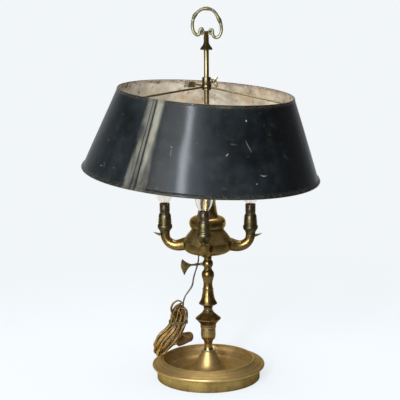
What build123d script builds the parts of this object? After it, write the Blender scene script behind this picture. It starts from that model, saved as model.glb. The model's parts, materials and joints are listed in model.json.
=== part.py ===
from build123d import *
from math import atan, cos, degrees, hypot, pi, radians, sin, tan
import os

os.makedirs("parts", exist_ok=True)

# Bouillotte lamp, in millimetres. The origin is the middle of the base's foot, +Z is up and -Y is the front.
# Azimuths are turned from the front (-Y) towards the right (+X).

# ---- fits ----
slide_gap = 0.06  # radial clearance of what slides or turns on the rod
seat_gap = 0.05  # radial clearance of pieces that sit still on each other
rest_gap = 0.3  # clearance between faces of bodies that move past each other

# ---- rod and stand ----
rod_radius = 4.0
rod_foot = 1.9  # height of the rod's lower end
foot_radius = 84.1  # drum under the dish
skirt_wall = 1.7
felt_thickness = 1.6
sheet_wall = 1.6  # spun brass
lip_radius = 91.9
lip_bead = 2.9
lip_height = 21.6
crest_radius = 74.0
crest_height = 32.2
recess_height = 12.0
floor_radius = 48.0  # where the recess is deepest
cone_height = 43.5
cone_top_radius = 10.3

# heights of the column are stacked: each is the length of one stretch of a turned piece
column_ring_radius = 12.3
column_ring_height = 2.4
vase_waist_length = 18.3
vase_length = 18.4
vase_band_length = 5.4
vase_radius = 11.9
knob_under_length = 10.4
knob_cone_length = 10.4
knob_neck_length = 4.2
knob_radius = 20.6
bell_skirt_length = 10.6
bell_flare_length = 23.0
bell_bead_length = 2.4
bell_radius = 14.8
top_length = 29.8
top_bulb_radius = 10.2

# ---- finial and ring handle ----
finial_foot = 532.5  # height of the rod's upper shoulder
finial_length = 29.3
finial_foot_width = 13.4  # side of the square
finial_neck_width = 5.6
finial_top_width = 6.2
stud_radius = 2.4
stud_length = 12.0
pin_rise = 26.1  # from the finial's foot
pin_radius = 1.2
pin_length = 23.6
handle_thickness = 4.2
handle_eye_radius = 2.8
handle_eye_length = 6.6
knuckle_radius = 2.9

# ---- reservoir ----
rest_ring_height = 2.4
rest_ring_radius = 6.9
sleeve_radius = 6.4
knop_radius = 8.6
knop_rise = 8.4  # each rise is measured from the piece below
bowl_rise = 15.4
bowl_floor_radius = 12.0
bowl_depth = 22.8
seam_radius = 39.8
cone_rise = 19.8
collar_foot_radius = 25.4
collar_rise = 19.8
collar_radius = 29.4
neck_foot_radius = 17.4
neck_length = 47.6
neck_top_radius = 9.6
shell_wall = 1.5

# ---- spouts, sockets and bulbs ----
spout_azimuths = {"front": -4.5, "left": -94.5, "back": 175.5, "right": 85.5}
socket_reach = 69.0
mouth_rise = 10.7  # from the reservoir's seam
mouth_radius = 7.7
spout_bend = 19.0
spout_bore = 4.2
spout_lip_reach = 87.6
spout_lip_width = 13.0
spout_lip_thickness = 1.6
plug_depth = 4.6
plug_radius = 6.3
husk_bead_radius = 11.9
husk_height = 33.0
husk_body_radius = 10.4
husk_bore = 8.3
candle_wall = 1.5
candle_height = 29.6
candle_rise = 19.9  # from the spout's mouth
cap_radius = 6.1
cap_height = 22.0
glass_radius = 14.6
glass_height = 73.0
glass_wall = 0.9
wire_radius = 1.3
wire_ring_radius = 17.4
wire_ring_rise = 8.8

# ---- winged key through the reservoir's stem ----
key_azimuth = -70.0
key_roll = 38.0
key_reach = 47.5
key_neck_reach = 28.0
key_screw_radius = 1.95
wing_half_width = 13.5
wing_thickness = 2.4

# ---- shade ----
hub_height = 480.0  # the point about which the shade hangs crooked
sag_right = 4.1  # degrees, right side low
sag_front = 3.3  # degrees, front low
shade_radius = 190.0
shade_top_radius = 140.5
shade_drop = 143.2  # from the hub point down to the lower rim, along the shade's own axis
shade_height = 130.5
shade_wall = 0.9
seam_azimuth = -33.0
seam_angle = 2.2
lower_wire_radius = 1.6
upper_wire_radius = 1.2
clamp_radius = 7.1
clamp_stem_radius = 5.2
clamp_length = 20.4
clamp_flange = 2.0
clamp_collar = 11.0
hub_radius = 7.7
arm_azimuths = (-50.0, 70.0, -170.0)
arm_radius = 1.6
arm_end_drop = 5.0  # below the shade's upper rim
tab_angle = 4.4
tab_height = 9.0
screw_azimuth = 82.0
screw_drop = 5.6  # below the clamp's top
screw_radius = 1.6
screw_reach = 18.4

# ---- lead ----
cord_diameter = 4.0  # round stand-in of a flat twin lead, 4.8 by 2.4
bush_azimuth = -119.0
bush_reach = 17.0
bush_drop = 2.6  # its flange, below the bowl
bush_radius = 3.6
bush_flange_radius = 4.9
hank_top = 119.0
blade_length = 17.0
blade_width = 6.3
blade_thickness = 1.5
blade_spacing = 12.7
blade_root = 8.0  # how far a blade is set into the plug


def direction(azimuth):
    return Vector(sin(radians(azimuth)), -cos(radians(azimuth)), 0)


def upright_plane(azimuth, reach=0.0):
    """A plane that stands at this azimuth: x runs outwards from reach, y is height."""
    out = direction(azimuth)
    return Plane(origin=out * reach, x_dir=out, z_dir=out.cross(Vector(0, 0, 1)))


def upright_axis(azimuth, reach):
    return Axis(direction(azimuth) * reach, (0, 0, 1))


def between(start, end, *shares):
    """Points of a curve from start to end, each given as its share of the way across and of the way up."""
    across = end[0] - start[0]
    up = end[1] - start[1]
    inner = [(start[0] + u * across, start[1] + v * up) for u, v in shares]
    return [start, *inner, end]


def other_side(points, wall):
    """The same outline moved by wall to the right of the way it runs, with its ends cut level or upright."""
    moved = []
    last = len(points) - 1
    for i, (x, y) in enumerate(points):
        before = points[max(i - 1, 0)]
        after = points[min(i + 1, last)]
        run = (after[0] - before[0], after[1] - before[1])
        length = hypot(*run)
        if 0 < i < last:
            moved.append((x + wall * run[1] / length, y - wall * run[0] / length))
        elif abs(run[1]) > abs(run[0]):
            moved.append((x + wall * length / run[1], y))
        else:
            moved.append((x, y - wall * length / run[0]))
    return moved


def route_radii(points):
    """An arc for each corner of a cord's route, as large as its two runs allow."""
    radii = []
    for before, corner, after in zip(points, points[1:], points[2:]):
        run_in = Vector(*corner) - Vector(*before)
        run_out = Vector(*after) - Vector(*corner)
        half_turn = radians(run_in.get_angle(run_out)) / 2
        radii.append(0.45 * min(run_in.length, run_out.length) / tan(half_turn))
    return radii


def keep(piece, name):
    piece.part.label = name
    export_step(piece.part, f"parts/{name}.step")


# ---- base ----

band_slope = (crest_height - 2.2 - lip_height) / (lip_radius - 2 * lip_bead - crest_radius)


def band_underside(radius):
    """Height of the lower face of the sloping band between the crest and the lip."""
    return crest_height - 2.7 - band_slope * (radius - crest_radius)


with BuildPart() as base_skirt:
    inner = foot_radius - skirt_wall
    with BuildSketch(Plane.XZ):
        with BuildLine():
            Polyline(
                (inner, 0),
                (foot_radius, 0),
                (foot_radius, band_underside(foot_radius)),
                (inner, band_underside(inner)),
                close=True,
            )
        make_face()
    revolve(axis=Axis.Z)
keep(base_skirt, "base_skirt")

with BuildPart() as base_dish:
    bore = rod_radius + seat_gap
    cone_foot = (floor_radius, recess_height)
    inside = between(
        (cone_top_radius, cone_height),
        cone_foot,
        (0.103, 0.238),
        (0.231, 0.505),
        (0.358, 0.727),
        (0.536, 0.898),
        (0.761, 0.981),
    )
    inside += between(
        cone_foot,
        (crest_radius - 0.6, crest_height - 0.4),
        (0.354, 0.02),
        (0.65, 0.182),
        (0.858, 0.465),
        (0.961, 0.768),
    )[1:]
    with BuildSketch(Plane.XZ):
        with BuildLine():
            face_up = Spline(*inside)
            face_down = Spline(*other_side(inside, sheet_wall))
            Line(face_up @ 0, face_down @ 0)
            Line(face_up @ 1, face_down @ 1)
        make_face()
    revolve(axis=Axis.Z)
    with BuildSketch(Plane.XZ):
        with Locations((cone_top_radius - 3.2, cone_height - sheet_wall / 2)):
            Rectangle(6.4, sheet_wall)
    revolve(axis=Axis.Z)
    with BuildSketch(Plane.XZ):
        bead_middle = (lip_radius - lip_bead, lip_height)
        step = (bead_middle[0] - crest_radius) / 4
        with BuildLine():
            Polyline(
                (crest_radius - 1.6, crest_height - 1.4),
                (crest_radius - 0.6, crest_height - 0.2),
                (crest_radius + 0.4, crest_height),
                (crest_radius + 1.4, crest_height - 0.5),
                (crest_radius + step, crest_height - band_slope * step),
                (crest_radius + step + 0.6, crest_height - band_slope * step + 0.3),
                (crest_radius + 2 * step, crest_height - band_slope * 2 * step + 0.2),
                (crest_radius + 2 * step + 0.6, crest_height - band_slope * 2 * step + 0.4),
                (bead_middle[0] - 1.6, lip_height + lip_bead * 0.86),
                (bead_middle[0] - 1.6, lip_height - 0.6),
                (foot_radius, band_underside(foot_radius)),
                (crest_radius + 0.6, band_underside(crest_radius + 0.6)),
                (crest_radius - 1.6, crest_height - 3.4),
                close=True,
            )
        make_face()
        with Locations(bead_middle):
            Circle(lip_bead)
    revolve(axis=Axis.Z)
    with BuildSketch(Plane.XY):
        Circle(bore)
    extrude(amount=cone_height + 5, mode=Mode.SUBTRACT)
keep(base_dish, "base_dish")

weight_top = recess_height - sheet_wall - rest_gap
pocket_top = weight_top - 3.4
washer_thickness = 1.4
nut_pocket_radius = 13.0

with BuildPart() as base_weight:
    with BuildSketch(Plane.XY.offset(felt_thickness)):
        Circle(foot_radius - skirt_wall - 2.0)
        Circle(rod_radius + 0.3, mode=Mode.SUBTRACT)
    extrude(amount=weight_top - felt_thickness)
    with BuildSketch(Plane.XY.offset(felt_thickness)):
        Circle(nut_pocket_radius)
    extrude(amount=pocket_top - felt_thickness, mode=Mode.SUBTRACT)
    chamfer(base_weight.edges().filter_by(GeomType.CIRCLE).sort_by(SortBy.RADIUS)[-1], length=1.0)
keep(base_weight, "base_weight")

with BuildPart() as base_felt:
    with BuildSketch(Plane.XY):
        Circle(foot_radius - skirt_wall - seat_gap)
    extrude(amount=felt_thickness)
keep(base_felt, "base_felt")

with BuildPart() as tie_washer:
    with BuildSketch(Plane.XY.offset(pocket_top - washer_thickness)):
        Circle(10.0)
        Circle(rod_radius + seat_gap, mode=Mode.SUBTRACT)
    extrude(amount=washer_thickness)
keep(tie_washer, "tie_washer")

nut_foot = rod_foot + 0.2
nut_width = 14.0

with BuildPart() as tie_nut:
    with BuildSketch(Plane.XY.offset(nut_foot)):
        RegularPolygon(radius=nut_width / 2, side_count=6, major_radius=False)
        Circle(rod_radius + 0.02, mode=Mode.SUBTRACT)
    extrude(amount=pocket_top - washer_thickness - nut_foot)
keep(tie_nut, "tie_nut")


# ---- column, four turned pieces on the rod ----

column_bore = rod_radius + seat_gap
ring_top = cone_height + column_ring_height
vase_foot = ring_top + vase_waist_length
vase_top = vase_foot + vase_length
column_foot_top = vase_top + vase_band_length
knob_edge = column_foot_top + knob_under_length
knob_neck = knob_edge + knob_cone_length
column_knob_top = knob_neck + knob_neck_length
bell_edge = column_knob_top + bell_skirt_length
bell_bead = bell_edge + bell_flare_length
column_bell_top = bell_bead + bell_bead_length
column_top_height = column_bell_top + top_length
edge_half = 0.6  # half the thickness of a turned edge

with BuildPart() as column_ring:
    with BuildSketch(Plane.XZ):
        with BuildLine():
            Polyline(
                (column_bore, cone_height),
                (column_ring_radius - 1.2, cone_height),
                (column_ring_radius, cone_height + 0.9),
                (column_ring_radius, ring_top - 0.9),
                (column_ring_radius - 1.0, ring_top),
                (column_bore, ring_top),
                close=True,
            )
        make_face()
    revolve(axis=Axis.Z)
keep(column_ring, "column_ring")

with BuildPart() as column_foot:
    with BuildSketch(Plane.XZ):
        with BuildLine():
            waist = Spline(
                *between((8.2, ring_top), (10.2, vase_foot), (-0.75, 0.39), (-0.45, 0.74)),
                tangents=((-0.6, 1), (0.8, 1)),
            )
            body = Spline(
                (vase_radius - 1.0, vase_foot),
                (vase_radius, vase_foot + 0.26 * vase_length),
                (vase_radius + 0.1, vase_foot + 0.64 * vase_length),
                (vase_radius - 0.2, vase_top),
                tangents=((0.3, 1), (-0.1, 1)),
            )
            Line(waist @ 1, body @ 0)
            Polyline(
                body @ 1,
                (vase_radius + 0.9, vase_top + 0.11 * vase_band_length),
                (vase_radius + 1.0, vase_top + 0.52 * vase_band_length),
                (vase_radius + 0.2, vase_top + 0.63 * vase_band_length),
                (vase_radius + 0.4, column_foot_top),
                (column_bore, column_foot_top),
                (column_bore, ring_top),
                waist @ 0,
            )
        make_face()
    revolve(axis=Axis.Z)
keep(column_foot, "column_foot")

with BuildPart() as column_knob:
    with BuildSketch(Plane.XZ):
        with BuildLine():
            under = Spline(
                *between((vase_radius + 1.1, column_foot_top), (knob_radius, knob_edge - edge_half), (0.21, 0.35)),
                tangents=((0.1, 1), (1.2, 1)),
            )
            above = Spline(
                *between((knob_radius, knob_edge + edge_half), (8.9, knob_neck), (0.46, 0.45)),
                tangents=((-1.2, 1), (-1.4, 1)),
            )
            Line(under @ 1, above @ 0)
            Polyline(
                above @ 1,
                (8.9, knob_neck + 0.43 * knob_neck_length),
                (7.3, knob_neck + 0.62 * knob_neck_length),
                (7.1, column_knob_top),
                (column_bore, column_knob_top),
                (column_bore, column_foot_top),
                under @ 0,
            )
        make_face()
    revolve(axis=Axis.Z)
keep(column_knob, "column_knob")

with BuildPart() as column_bell:
    with BuildSketch(Plane.XZ):
        with BuildLine():
            flare = Spline(
                *between((bell_radius, bell_edge + edge_half), (8.6, bell_bead), (0.468, 0.232), (0.79, 0.571)),
                tangents=((-0.6, 1), (-0.1, 1)),
            )
            Polyline(
                flare @ 0,
                (bell_radius, bell_edge - edge_half),
                (8.4, column_knob_top + 0.6 * bell_skirt_length),
                (7.4, column_knob_top + 0.43 * bell_skirt_length),
                (7.1, column_knob_top),
                (column_bore, column_knob_top),
                (column_bore, column_bell_top),
                (8.3, column_bell_top),
                (8.9, column_bell_top - 0.33 * bell_bead_length),
                (8.9, column_bell_top - 0.75 * bell_bead_length),
                flare @ 1,
            )
        make_face()
    revolve(axis=Axis.Z)
keep(column_bell, "column_bell")

with BuildPart() as column_top:
    with BuildSketch(Plane.XZ):
        with BuildLine():
            neck = Spline(
                (8.1, column_bell_top),
                (7.3, column_bell_top + 0.235 * top_length),
                (8.0, column_bell_top + 0.436 * top_length),
                (top_bulb_radius, column_bell_top + 0.752 * top_length),
                (top_bulb_radius - 1.4, column_bell_top + 0.926 * top_length),
                (top_bulb_radius - 3.4, column_top_height),
                tangents=((-0.2, 1), (-1.2, 1)),
            )
            Polyline(
                neck @ 1,
                (column_bore, column_top_height),
                (column_bore, column_bell_top),
                neck @ 0,
            )
        make_face()
    revolve(axis=Axis.Z)
keep(column_top, "column_top")

with BuildPart() as center_rod:
    with BuildSketch(Plane.XY.offset(rod_foot)):
        Circle(rod_radius)
    extrude(amount=finial_foot - rod_foot)
    with BuildSketch(Plane.XY.offset(finial_foot)):
        Circle(stud_radius)
    extrude(amount=stud_length)
    chamfer(center_rod.edges().sort_by(Axis.Z)[0], length=0.5)
keep(center_rod, "center_rod")


# ---- finial and ring handle ----

pin_height = finial_foot + pin_rise
finial_flare = finial_foot_width - finial_neck_width

with BuildPart() as finial:
    for height, width in (
        (finial_foot, finial_foot_width - 0.6),
        (finial_foot + 0.07 * finial_length, finial_foot_width),
        (finial_foot + 0.27 * finial_length, finial_neck_width + 0.28 * finial_flare),
        (finial_foot + 0.51 * finial_length, finial_neck_width + 0.02 * finial_flare),
        (finial_foot + 0.72 * finial_length, finial_neck_width),
        (finial_foot + finial_length, finial_top_width),
    ):
        with BuildSketch(Plane.XY.offset(height)):
            Rectangle(width, width, rotation=45)
    loft()
    with BuildSketch(Plane.XY.offset(finial_foot)):
        Circle(stud_radius + 0.02)
    extrude(amount=stud_length + 0.4, mode=Mode.SUBTRACT)
    with BuildSketch(Plane.YZ.offset(-finial_foot_width)):
        with Locations((0, pin_height)):
            Circle(pin_radius + 0.02)
    extrude(amount=2 * finial_foot_width, mode=Mode.SUBTRACT)
keep(finial, "finial")

with BuildPart() as handle_pin:
    with BuildSketch(Plane.YZ.offset(-pin_length / 2)):
        with Locations((0, pin_height)):
            Circle(pin_radius)
    extrude(amount=pin_length)
keep(handle_pin, "handle_pin")

eye_start = finial_neck_width / 2**0.5 + 0.5
ring_route = [
    (-eye_start - handle_eye_length + 1.4, pin_height - 0.6),
    (-13.4, pin_height - 3.0),
    (-19.6, pin_height + 1.2),
    (-22.0, pin_height + 10.6),
    (-20.6, pin_height + 20.6),
    (-17.4, pin_height + 28.4),
    (-8.6, pin_height + 36.6),
    (1.6, pin_height + 38.8),
    (12.6, pin_height + 34.6),
    (20.4, pin_height + 21.6),
    (24.0, pin_height + 11.4),
    (24.2, pin_height + 1.0),
    (20.0, pin_height - 6.4),
    (14.2, pin_height - 7.8),
    (eye_start + handle_eye_length - 2.0, pin_height - 1.2),
]
knuckles = (ring_route[5], ring_route[7], ring_route[9])

with BuildPart() as ring_handle:
    with BuildLine(Plane.XZ) as ring_line:
        FilletPolyline(*ring_route, radius=route_radii(ring_route))
    with BuildSketch(Plane(ring_line.line @ 0, z_dir=ring_line.line % 0)):
        Circle(handle_thickness / 2)
    sweep(path=ring_line.line)
    for x, z in knuckles:
        with Locations((x, 0, z)):
            Sphere(knuckle_radius)
    for side in (-1, 1):
        middle = side * (eye_start + handle_eye_length / 2)
        with BuildSketch(Plane.YZ.offset(middle - handle_eye_length / 2)):
            with Locations((0, pin_height)):
                Circle(handle_eye_radius)
        extrude(amount=handle_eye_length)
        with BuildSketch(Plane.XY.offset(pin_height + 1.6)):
            with Locations((middle, 0)):
                Circle(2.2)
        with BuildSketch(Plane.XY.offset(pin_height + 7.4)):
            with Locations((middle - side * 0.6, 0)):
                Circle(0.7)
        loft()
    with BuildSketch(Plane.YZ.offset(-pin_length)):
        with Locations((0, pin_height)):
            Circle(pin_radius + slide_gap)
    extrude(amount=2 * pin_length, mode=Mode.SUBTRACT)
keep(ring_handle, "ring_handle")


# ---- reservoir ----

ring_seat = column_top_height
sleeve_foot = ring_seat + rest_ring_height
slide_bore = rod_radius + slide_gap
knop_height = sleeve_foot + knop_rise
bowl_foot = knop_height + bowl_rise
seam_height = bowl_foot + bowl_depth
collar_foot = seam_height + cone_rise
neck_foot = collar_foot + collar_rise
neck_top = neck_foot + neck_length
mouth_height = seam_height + mouth_rise
wire_ring_height = bowl_foot + wire_ring_rise
bush_foot = bowl_foot - bush_drop

with BuildPart() as rest_ring:
    with BuildSketch(Plane.XZ):
        with BuildLine():
            Polyline(
                (slide_bore, ring_seat),
                (rest_ring_radius - 0.7, ring_seat),
                (rest_ring_radius, ring_seat + 0.8),
                (rest_ring_radius, sleeve_foot - 0.8),
                (rest_ring_radius - 0.7, sleeve_foot),
                (slide_bore, sleeve_foot),
                close=True,
            )
        make_face()
    revolve(axis=Axis.Z)
keep(rest_ring, "rest_ring")

key_plane = Plane(
    origin=(0, 0, knop_height),
    x_dir=direction(key_azimuth),
    z_dir=direction(key_azimuth).cross(Vector(0, 0, 1)),
)
flange_foot = bowl_foot + shell_wall + seat_gap

with BuildPart() as clamp_sleeve:
    with BuildSketch(Plane.XZ):
        with BuildLine():
            knop = ThreePointArc(
                (sleeve_radius, knop_height - 5.8),
                (knop_radius, knop_height),
                (sleeve_radius, knop_height + 5.8),
            )
            Polyline(
                knop @ 1,
                (sleeve_radius - 0.5, knop_height + 6.6),
                (sleeve_radius, knop_height + 8.0),
                (sleeve_radius, flange_foot),
                (sleeve_radius + 3.0, flange_foot),
                (sleeve_radius + 3.0, flange_foot + 2.0),
                (sleeve_radius, flange_foot + 2.0),
                (sleeve_radius, flange_foot + 14.0),
                (slide_bore, flange_foot + 14.0),
                (slide_bore, sleeve_foot),
                (sleeve_radius - 0.4, sleeve_foot),
                knop @ 0,
            )
        make_face()
    revolve(axis=Axis.Z)
    with BuildSketch(Plane(origin=(0, 0, knop_height), z_dir=direction(key_azimuth))):
        Circle(key_screw_radius + slide_gap)
    extrude(amount=knop_radius + 2, mode=Mode.SUBTRACT)
keep(clamp_sleeve, "clamp_sleeve")

bowl_outline = between(
    (bowl_floor_radius, bowl_foot),
    (seam_radius, seam_height),
    (0.378, 0.07),
    (0.683, 0.175),
    (0.885, 0.342),
    (0.978, 0.614),
)
cone_outline = between(
    (collar_foot_radius, collar_foot),
    (seam_radius, seam_height),
    (0.111, 0.136),
    (0.333, 0.343),
    (0.583, 0.576),
    (0.806, 0.808),
)
collar_outline = [
    (neck_foot_radius + 0.6, neck_foot),
    (collar_radius - 6.4, collar_foot + 0.96 * collar_rise),
    (collar_radius - 1.6, collar_foot + 0.768 * collar_rise),
    (collar_radius, collar_foot + 0.485 * collar_rise),
    (collar_radius - 1.2, collar_foot + 0.162 * collar_rise),
    (collar_foot_radius, collar_foot),
]
neck_shoulder = neck_top - 3.0
neck_outline = [(neck_top_radius - 0.6, neck_top - 0.6)]
neck_outline += between(
    (neck_top_radius, neck_shoulder),
    (neck_foot_radius, neck_foot),
    (0.205, 0.179),
    (0.404, 0.426),
    (0.615, 0.695),
    (0.82, 0.897),
)
bush_place = direction(bush_azimuth) * bush_reach
wire_hole_height = mouth_height - spout_bend - 0.8

with BuildPart() as reservoir_body:  # outer form of bowl and cone together, which trims the spouts
    with BuildSketch(Plane.XZ):
        with BuildLine():
            low = Spline(*bowl_outline)
            high = Spline(*cone_outline)
            Polyline(high @ 0, (0, collar_foot), (0, bowl_foot), low @ 0)
        make_face()
    revolve(axis=Axis.Z)


candle_floor = mouth_height + candle_rise


def spout_route(first, last):
    """The line that a spout's bore and its wires follow, in the spout's upright plane."""
    return FilletPolyline(
        first,
        (socket_reach - spout_bend - 6, mouth_height - spout_bend),
        (socket_reach, mouth_height - spout_bend),
        last,
        radius=(16.0, spout_bend - 0.3),
    )


with BuildPart() as reservoir_bowl:
    with BuildSketch(Plane.XZ):
        with BuildLine():
            outer = Spline(*bowl_outline)
            inner_line = Spline(*other_side(bowl_outline, -shell_wall))
            Polyline(
                outer @ 0,
                (sleeve_radius + seat_gap, bowl_foot),
                (sleeve_radius + seat_gap, bowl_foot + shell_wall),
                inner_line @ 0,
            )
            Line(outer @ 1, inner_line @ 1)
        make_face()
    revolve(axis=Axis.Z)
    with BuildSketch(Plane.XY.offset(bush_foot - 5)):
        with Locations((bush_place.X, bush_place.Y)):
            Circle(bush_radius + seat_gap)
    extrude(amount=15, mode=Mode.SUBTRACT)
    for azimuth in spout_azimuths.values():
        with BuildSketch(Plane(origin=(0, 0, wire_hole_height), z_dir=direction(azimuth))):
            Circle(spout_bore)
        extrude(amount=seam_radius + 5, mode=Mode.SUBTRACT)
keep(reservoir_bowl, "reservoir_bowl")

with BuildPart() as reservoir_cone:
    with BuildSketch(Plane.XZ):
        with BuildLine():
            outer = Spline(*cone_outline)
            inner_line = Spline(*other_side(cone_outline, shell_wall))
            Line(outer @ 0, inner_line @ 0)
            Line(outer @ 1, inner_line @ 1)
        make_face()
    revolve(axis=Axis.Z)
keep(reservoir_cone, "reservoir_cone")

with BuildPart() as reservoir_collar:
    with BuildSketch(Plane.XZ):
        with BuildLine():
            outer = Spline(*collar_outline)
            inner_line = Spline(*other_side(collar_outline, shell_wall))
            Polyline(
                outer @ 0,
                (neck_foot_radius - 2 * shell_wall, neck_foot),
                (neck_foot_radius - 2 * shell_wall, neck_foot - shell_wall),
                inner_line @ 0,
            )
            Line(outer @ 1, inner_line @ 1)
        make_face()
    revolve(axis=Axis.Z)
keep(reservoir_collar, "reservoir_collar")

with BuildPart() as reservoir_neck:
    with BuildSketch(Plane.XZ):
        with BuildLine():
            outer = Spline(*neck_outline)
            inner_line = Spline(*other_side(neck_outline, shell_wall))
            Line(outer @ 0, inner_line @ 0)
            Line(outer @ 1, inner_line @ 1)
        make_face()
    revolve(axis=Axis.Z)
    with BuildSketch(Plane.XZ):
        with BuildLine():
            Polyline(
                (slide_bore, neck_top),
                (neck_top_radius - 1.4, neck_top),
                (neck_top_radius - 0.6, neck_top - 0.6),
                (neck_top_radius - 0.6, neck_top - 2.4),
                (slide_bore, neck_top - 2.4),
                close=True,
            )
        make_face()
    revolve(axis=Axis.Z)
keep(reservoir_neck, "reservoir_neck")

with BuildPart() as cord_bush:
    with BuildSketch(Plane.XY.offset(bush_foot)):
        with Locations((bush_place.X, bush_place.Y)):
            Circle(bush_radius)
    extrude(amount=8.0)
    with BuildSketch(Plane.XY.offset(bush_foot)):
        with Locations((bush_place.X, bush_place.Y)):
            Circle(bush_flange_radius)
    extrude(amount=bowl_foot - bush_foot)
    with BuildSketch(Plane.XY.offset(bush_foot)):
        with Locations((bush_place.X, bush_place.Y)):
            Circle(cord_diameter / 2 - 0.2)
    extrude(amount=8.0, mode=Mode.SUBTRACT)
    chamfer(cord_bush.edges().filter_by(GeomType.CIRCLE).sort_by(Axis.Z)[:2].sort_by(SortBy.RADIUS)[-1], length=0.6)
keep(cord_bush, "cord_bush")

with BuildPart() as lead_wires:
    with BuildSketch(Plane.XZ):
        with Locations((wire_ring_radius, wire_ring_height)):
            Circle(wire_radius + 0.3)
    revolve(axis=Axis.Z)
    for azimuth in spout_azimuths.values():
        with BuildLine(upright_plane(azimuth)) as wire_line:
            spout_route((wire_ring_radius, wire_ring_height), (socket_reach, candle_floor - 0.4))
        with BuildSketch(Plane(wire_line.line @ 0, z_dir=wire_line.line % 0)):
            Circle(wire_radius)
        sweep(path=wire_line.line)
    with BuildSketch(Plane.XY.offset(bush_foot + 0.1)):
        with Locations((bush_place.X, bush_place.Y)):
            Circle(cord_diameter / 2 - 0.4)
    extrude(amount=wire_ring_height - bush_foot)
keep(lead_wires, "lead_wires")


# ---- spouts, one for each light ----

bend_middle = (socket_reach - spout_bend, mouth_height)
spout_sections = [  # reach, height, tilt of the way the spout runs, radius
    (seam_radius - 6.8, mouth_height - spout_bend + 3.1, 0, 11.2),
    (seam_radius + 1.8, mouth_height - spout_bend + 1.5, 0, 10.1),
    (bend_middle[0], mouth_height - spout_bend, 0, 8.8),
]
for turn, radius in ((25, 8.1), (50, 7.5), (72, 7.4)):
    reach = bend_middle[0] + spout_bend * sin(radians(turn))
    height = bend_middle[1] - spout_bend * cos(radians(turn))
    spout_sections.append((reach, height, turn, radius))
spout_sections.append((socket_reach, mouth_height, 90, mouth_radius))


def spout(azimuth):
    out = direction(azimuth)
    with BuildPart() as cast_spout:
        for reach, height, turn, radius in spout_sections:
            way = out * cos(radians(turn)) + Vector(0, 0, sin(radians(turn)))
            middle = out * reach + Vector(0, 0, height)
            with BuildSketch(Plane(middle, x_dir=out.cross(Vector(0, 0, 1)), z_dir=way)):
                Circle(radius)
        loft()
        with BuildSketch(upright_plane(azimuth)):  # side view of the pouring lip
            tip_height = mouth_height + 2.8
            root = socket_reach + mouth_radius - 1.4
            with BuildLine():
                top = Spline((root, mouth_height), (root + 5, mouth_height + 0.2), (spout_lip_reach, tip_height))
                under = Spline(
                    (root, mouth_height - 2 * spout_lip_thickness),
                    (root + 5, mouth_height - spout_lip_thickness),
                    (spout_lip_reach, tip_height - 0.5),
                )
                Line(top @ 0, under @ 0)
                Line(top @ 1, under @ 1)
            make_face()
        extrude(amount=spout_lip_width / 2, both=True)
        with BuildSketch(Plane(origin=(0, 0, mouth_height - 8), x_dir=out, z_dir=(0, 0, 1))):  # its pointed plan
            with BuildLine():
                side = Spline(
                    (socket_reach + 2.0, spout_lip_width / 2),
                    (socket_reach + 9.6, spout_lip_width * 0.4),
                    (spout_lip_reach + 0.2, 0.4),
                )
                mirror(side, about=Plane.XZ)
                Line((spout_lip_reach + 0.2, 0.4), (spout_lip_reach + 0.2, -0.4))
                Line((socket_reach + 2.0, spout_lip_width / 2), (socket_reach + 2.0, -spout_lip_width / 2))
            make_face()
        plan = extrude(amount=14, mode=Mode.PRIVATE)
        with BuildSketch(Plane(origin=(0, 0, bowl_foot - 20), x_dir=out, z_dir=(0, 0, 1))):
            with Locations((socket_reach / 2, 0)):
                Rectangle(socket_reach + 2 * mouth_radius - 2, 60)
        keep_in = extrude(amount=80, mode=Mode.PRIVATE)
        add(plan + keep_in, mode=Mode.INTERSECT)
        add(reservoir_body.part, mode=Mode.SUBTRACT)
        with BuildLine(upright_plane(azimuth)) as bore_line:
            spout_route((wire_ring_radius, wire_ring_height), (socket_reach, mouth_height + 1))
        with BuildSketch(Plane(bore_line.line @ 0, z_dir=bore_line.line % 0)):
            Circle(spout_bore)
        sweep(path=bore_line.line, mode=Mode.SUBTRACT)
        with BuildSketch(Plane(origin=out * socket_reach + Vector(0, 0, mouth_height - plug_depth))):
            Circle(plug_radius + seat_gap)
        extrude(amount=plug_depth + 4, mode=Mode.SUBTRACT)
    return cast_spout


for place, azimuth in spout_azimuths.items():
    keep(spout(azimuth), f"spout_{place}")


# ---- candle sockets and bulbs ----

plug_foot = mouth_height - plug_depth
husk_top = mouth_height + husk_height


def socket_husk(azimuth):
    with BuildPart() as husk:
        with BuildSketch(upright_plane(azimuth, socket_reach)):
            with BuildLine():
                belly = Spline(
                    (plug_radius + 1.2, mouth_height + 2.6),
                    (plug_radius + 1.9, mouth_height + 5.0),
                    (husk_bead_radius - 1.4, mouth_height + 9.2),
                )
                bead = ThreePointArc(
                    (husk_bead_radius - 0.9, mouth_height + 9.2),
                    (husk_bead_radius, mouth_height + 12.6),
                    (husk_bead_radius - 0.9, mouth_height + 16.0),
                )
                shoulder = Spline(
                    (husk_body_radius, mouth_height + 17.0),
                    (husk_body_radius, mouth_height + 25.0),
                    (husk_bore + 1.0, husk_top - 0.6),
                )
                Polyline(
                    belly @ 0,
                    (plug_radius + 1.2, mouth_height),
                    (plug_radius, mouth_height),
                    (plug_radius, plug_foot),
                    (wire_radius + 1.0, plug_foot),
                    (wire_radius + 1.0, candle_floor - 1.6),
                    (husk_bore, candle_floor - 1.6),
                    (husk_bore, husk_top),
                    (husk_bore + 0.6, husk_top),
                    shoulder @ 1,
                )
                Line(belly @ 1, bead @ 0)
                Line(bead @ 1, shoulder @ 0)
            make_face()
        revolve(axis=upright_axis(azimuth, socket_reach))
    return husk


candle_outer = husk_bore - seat_gap
candle_top = candle_floor + candle_height


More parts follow.
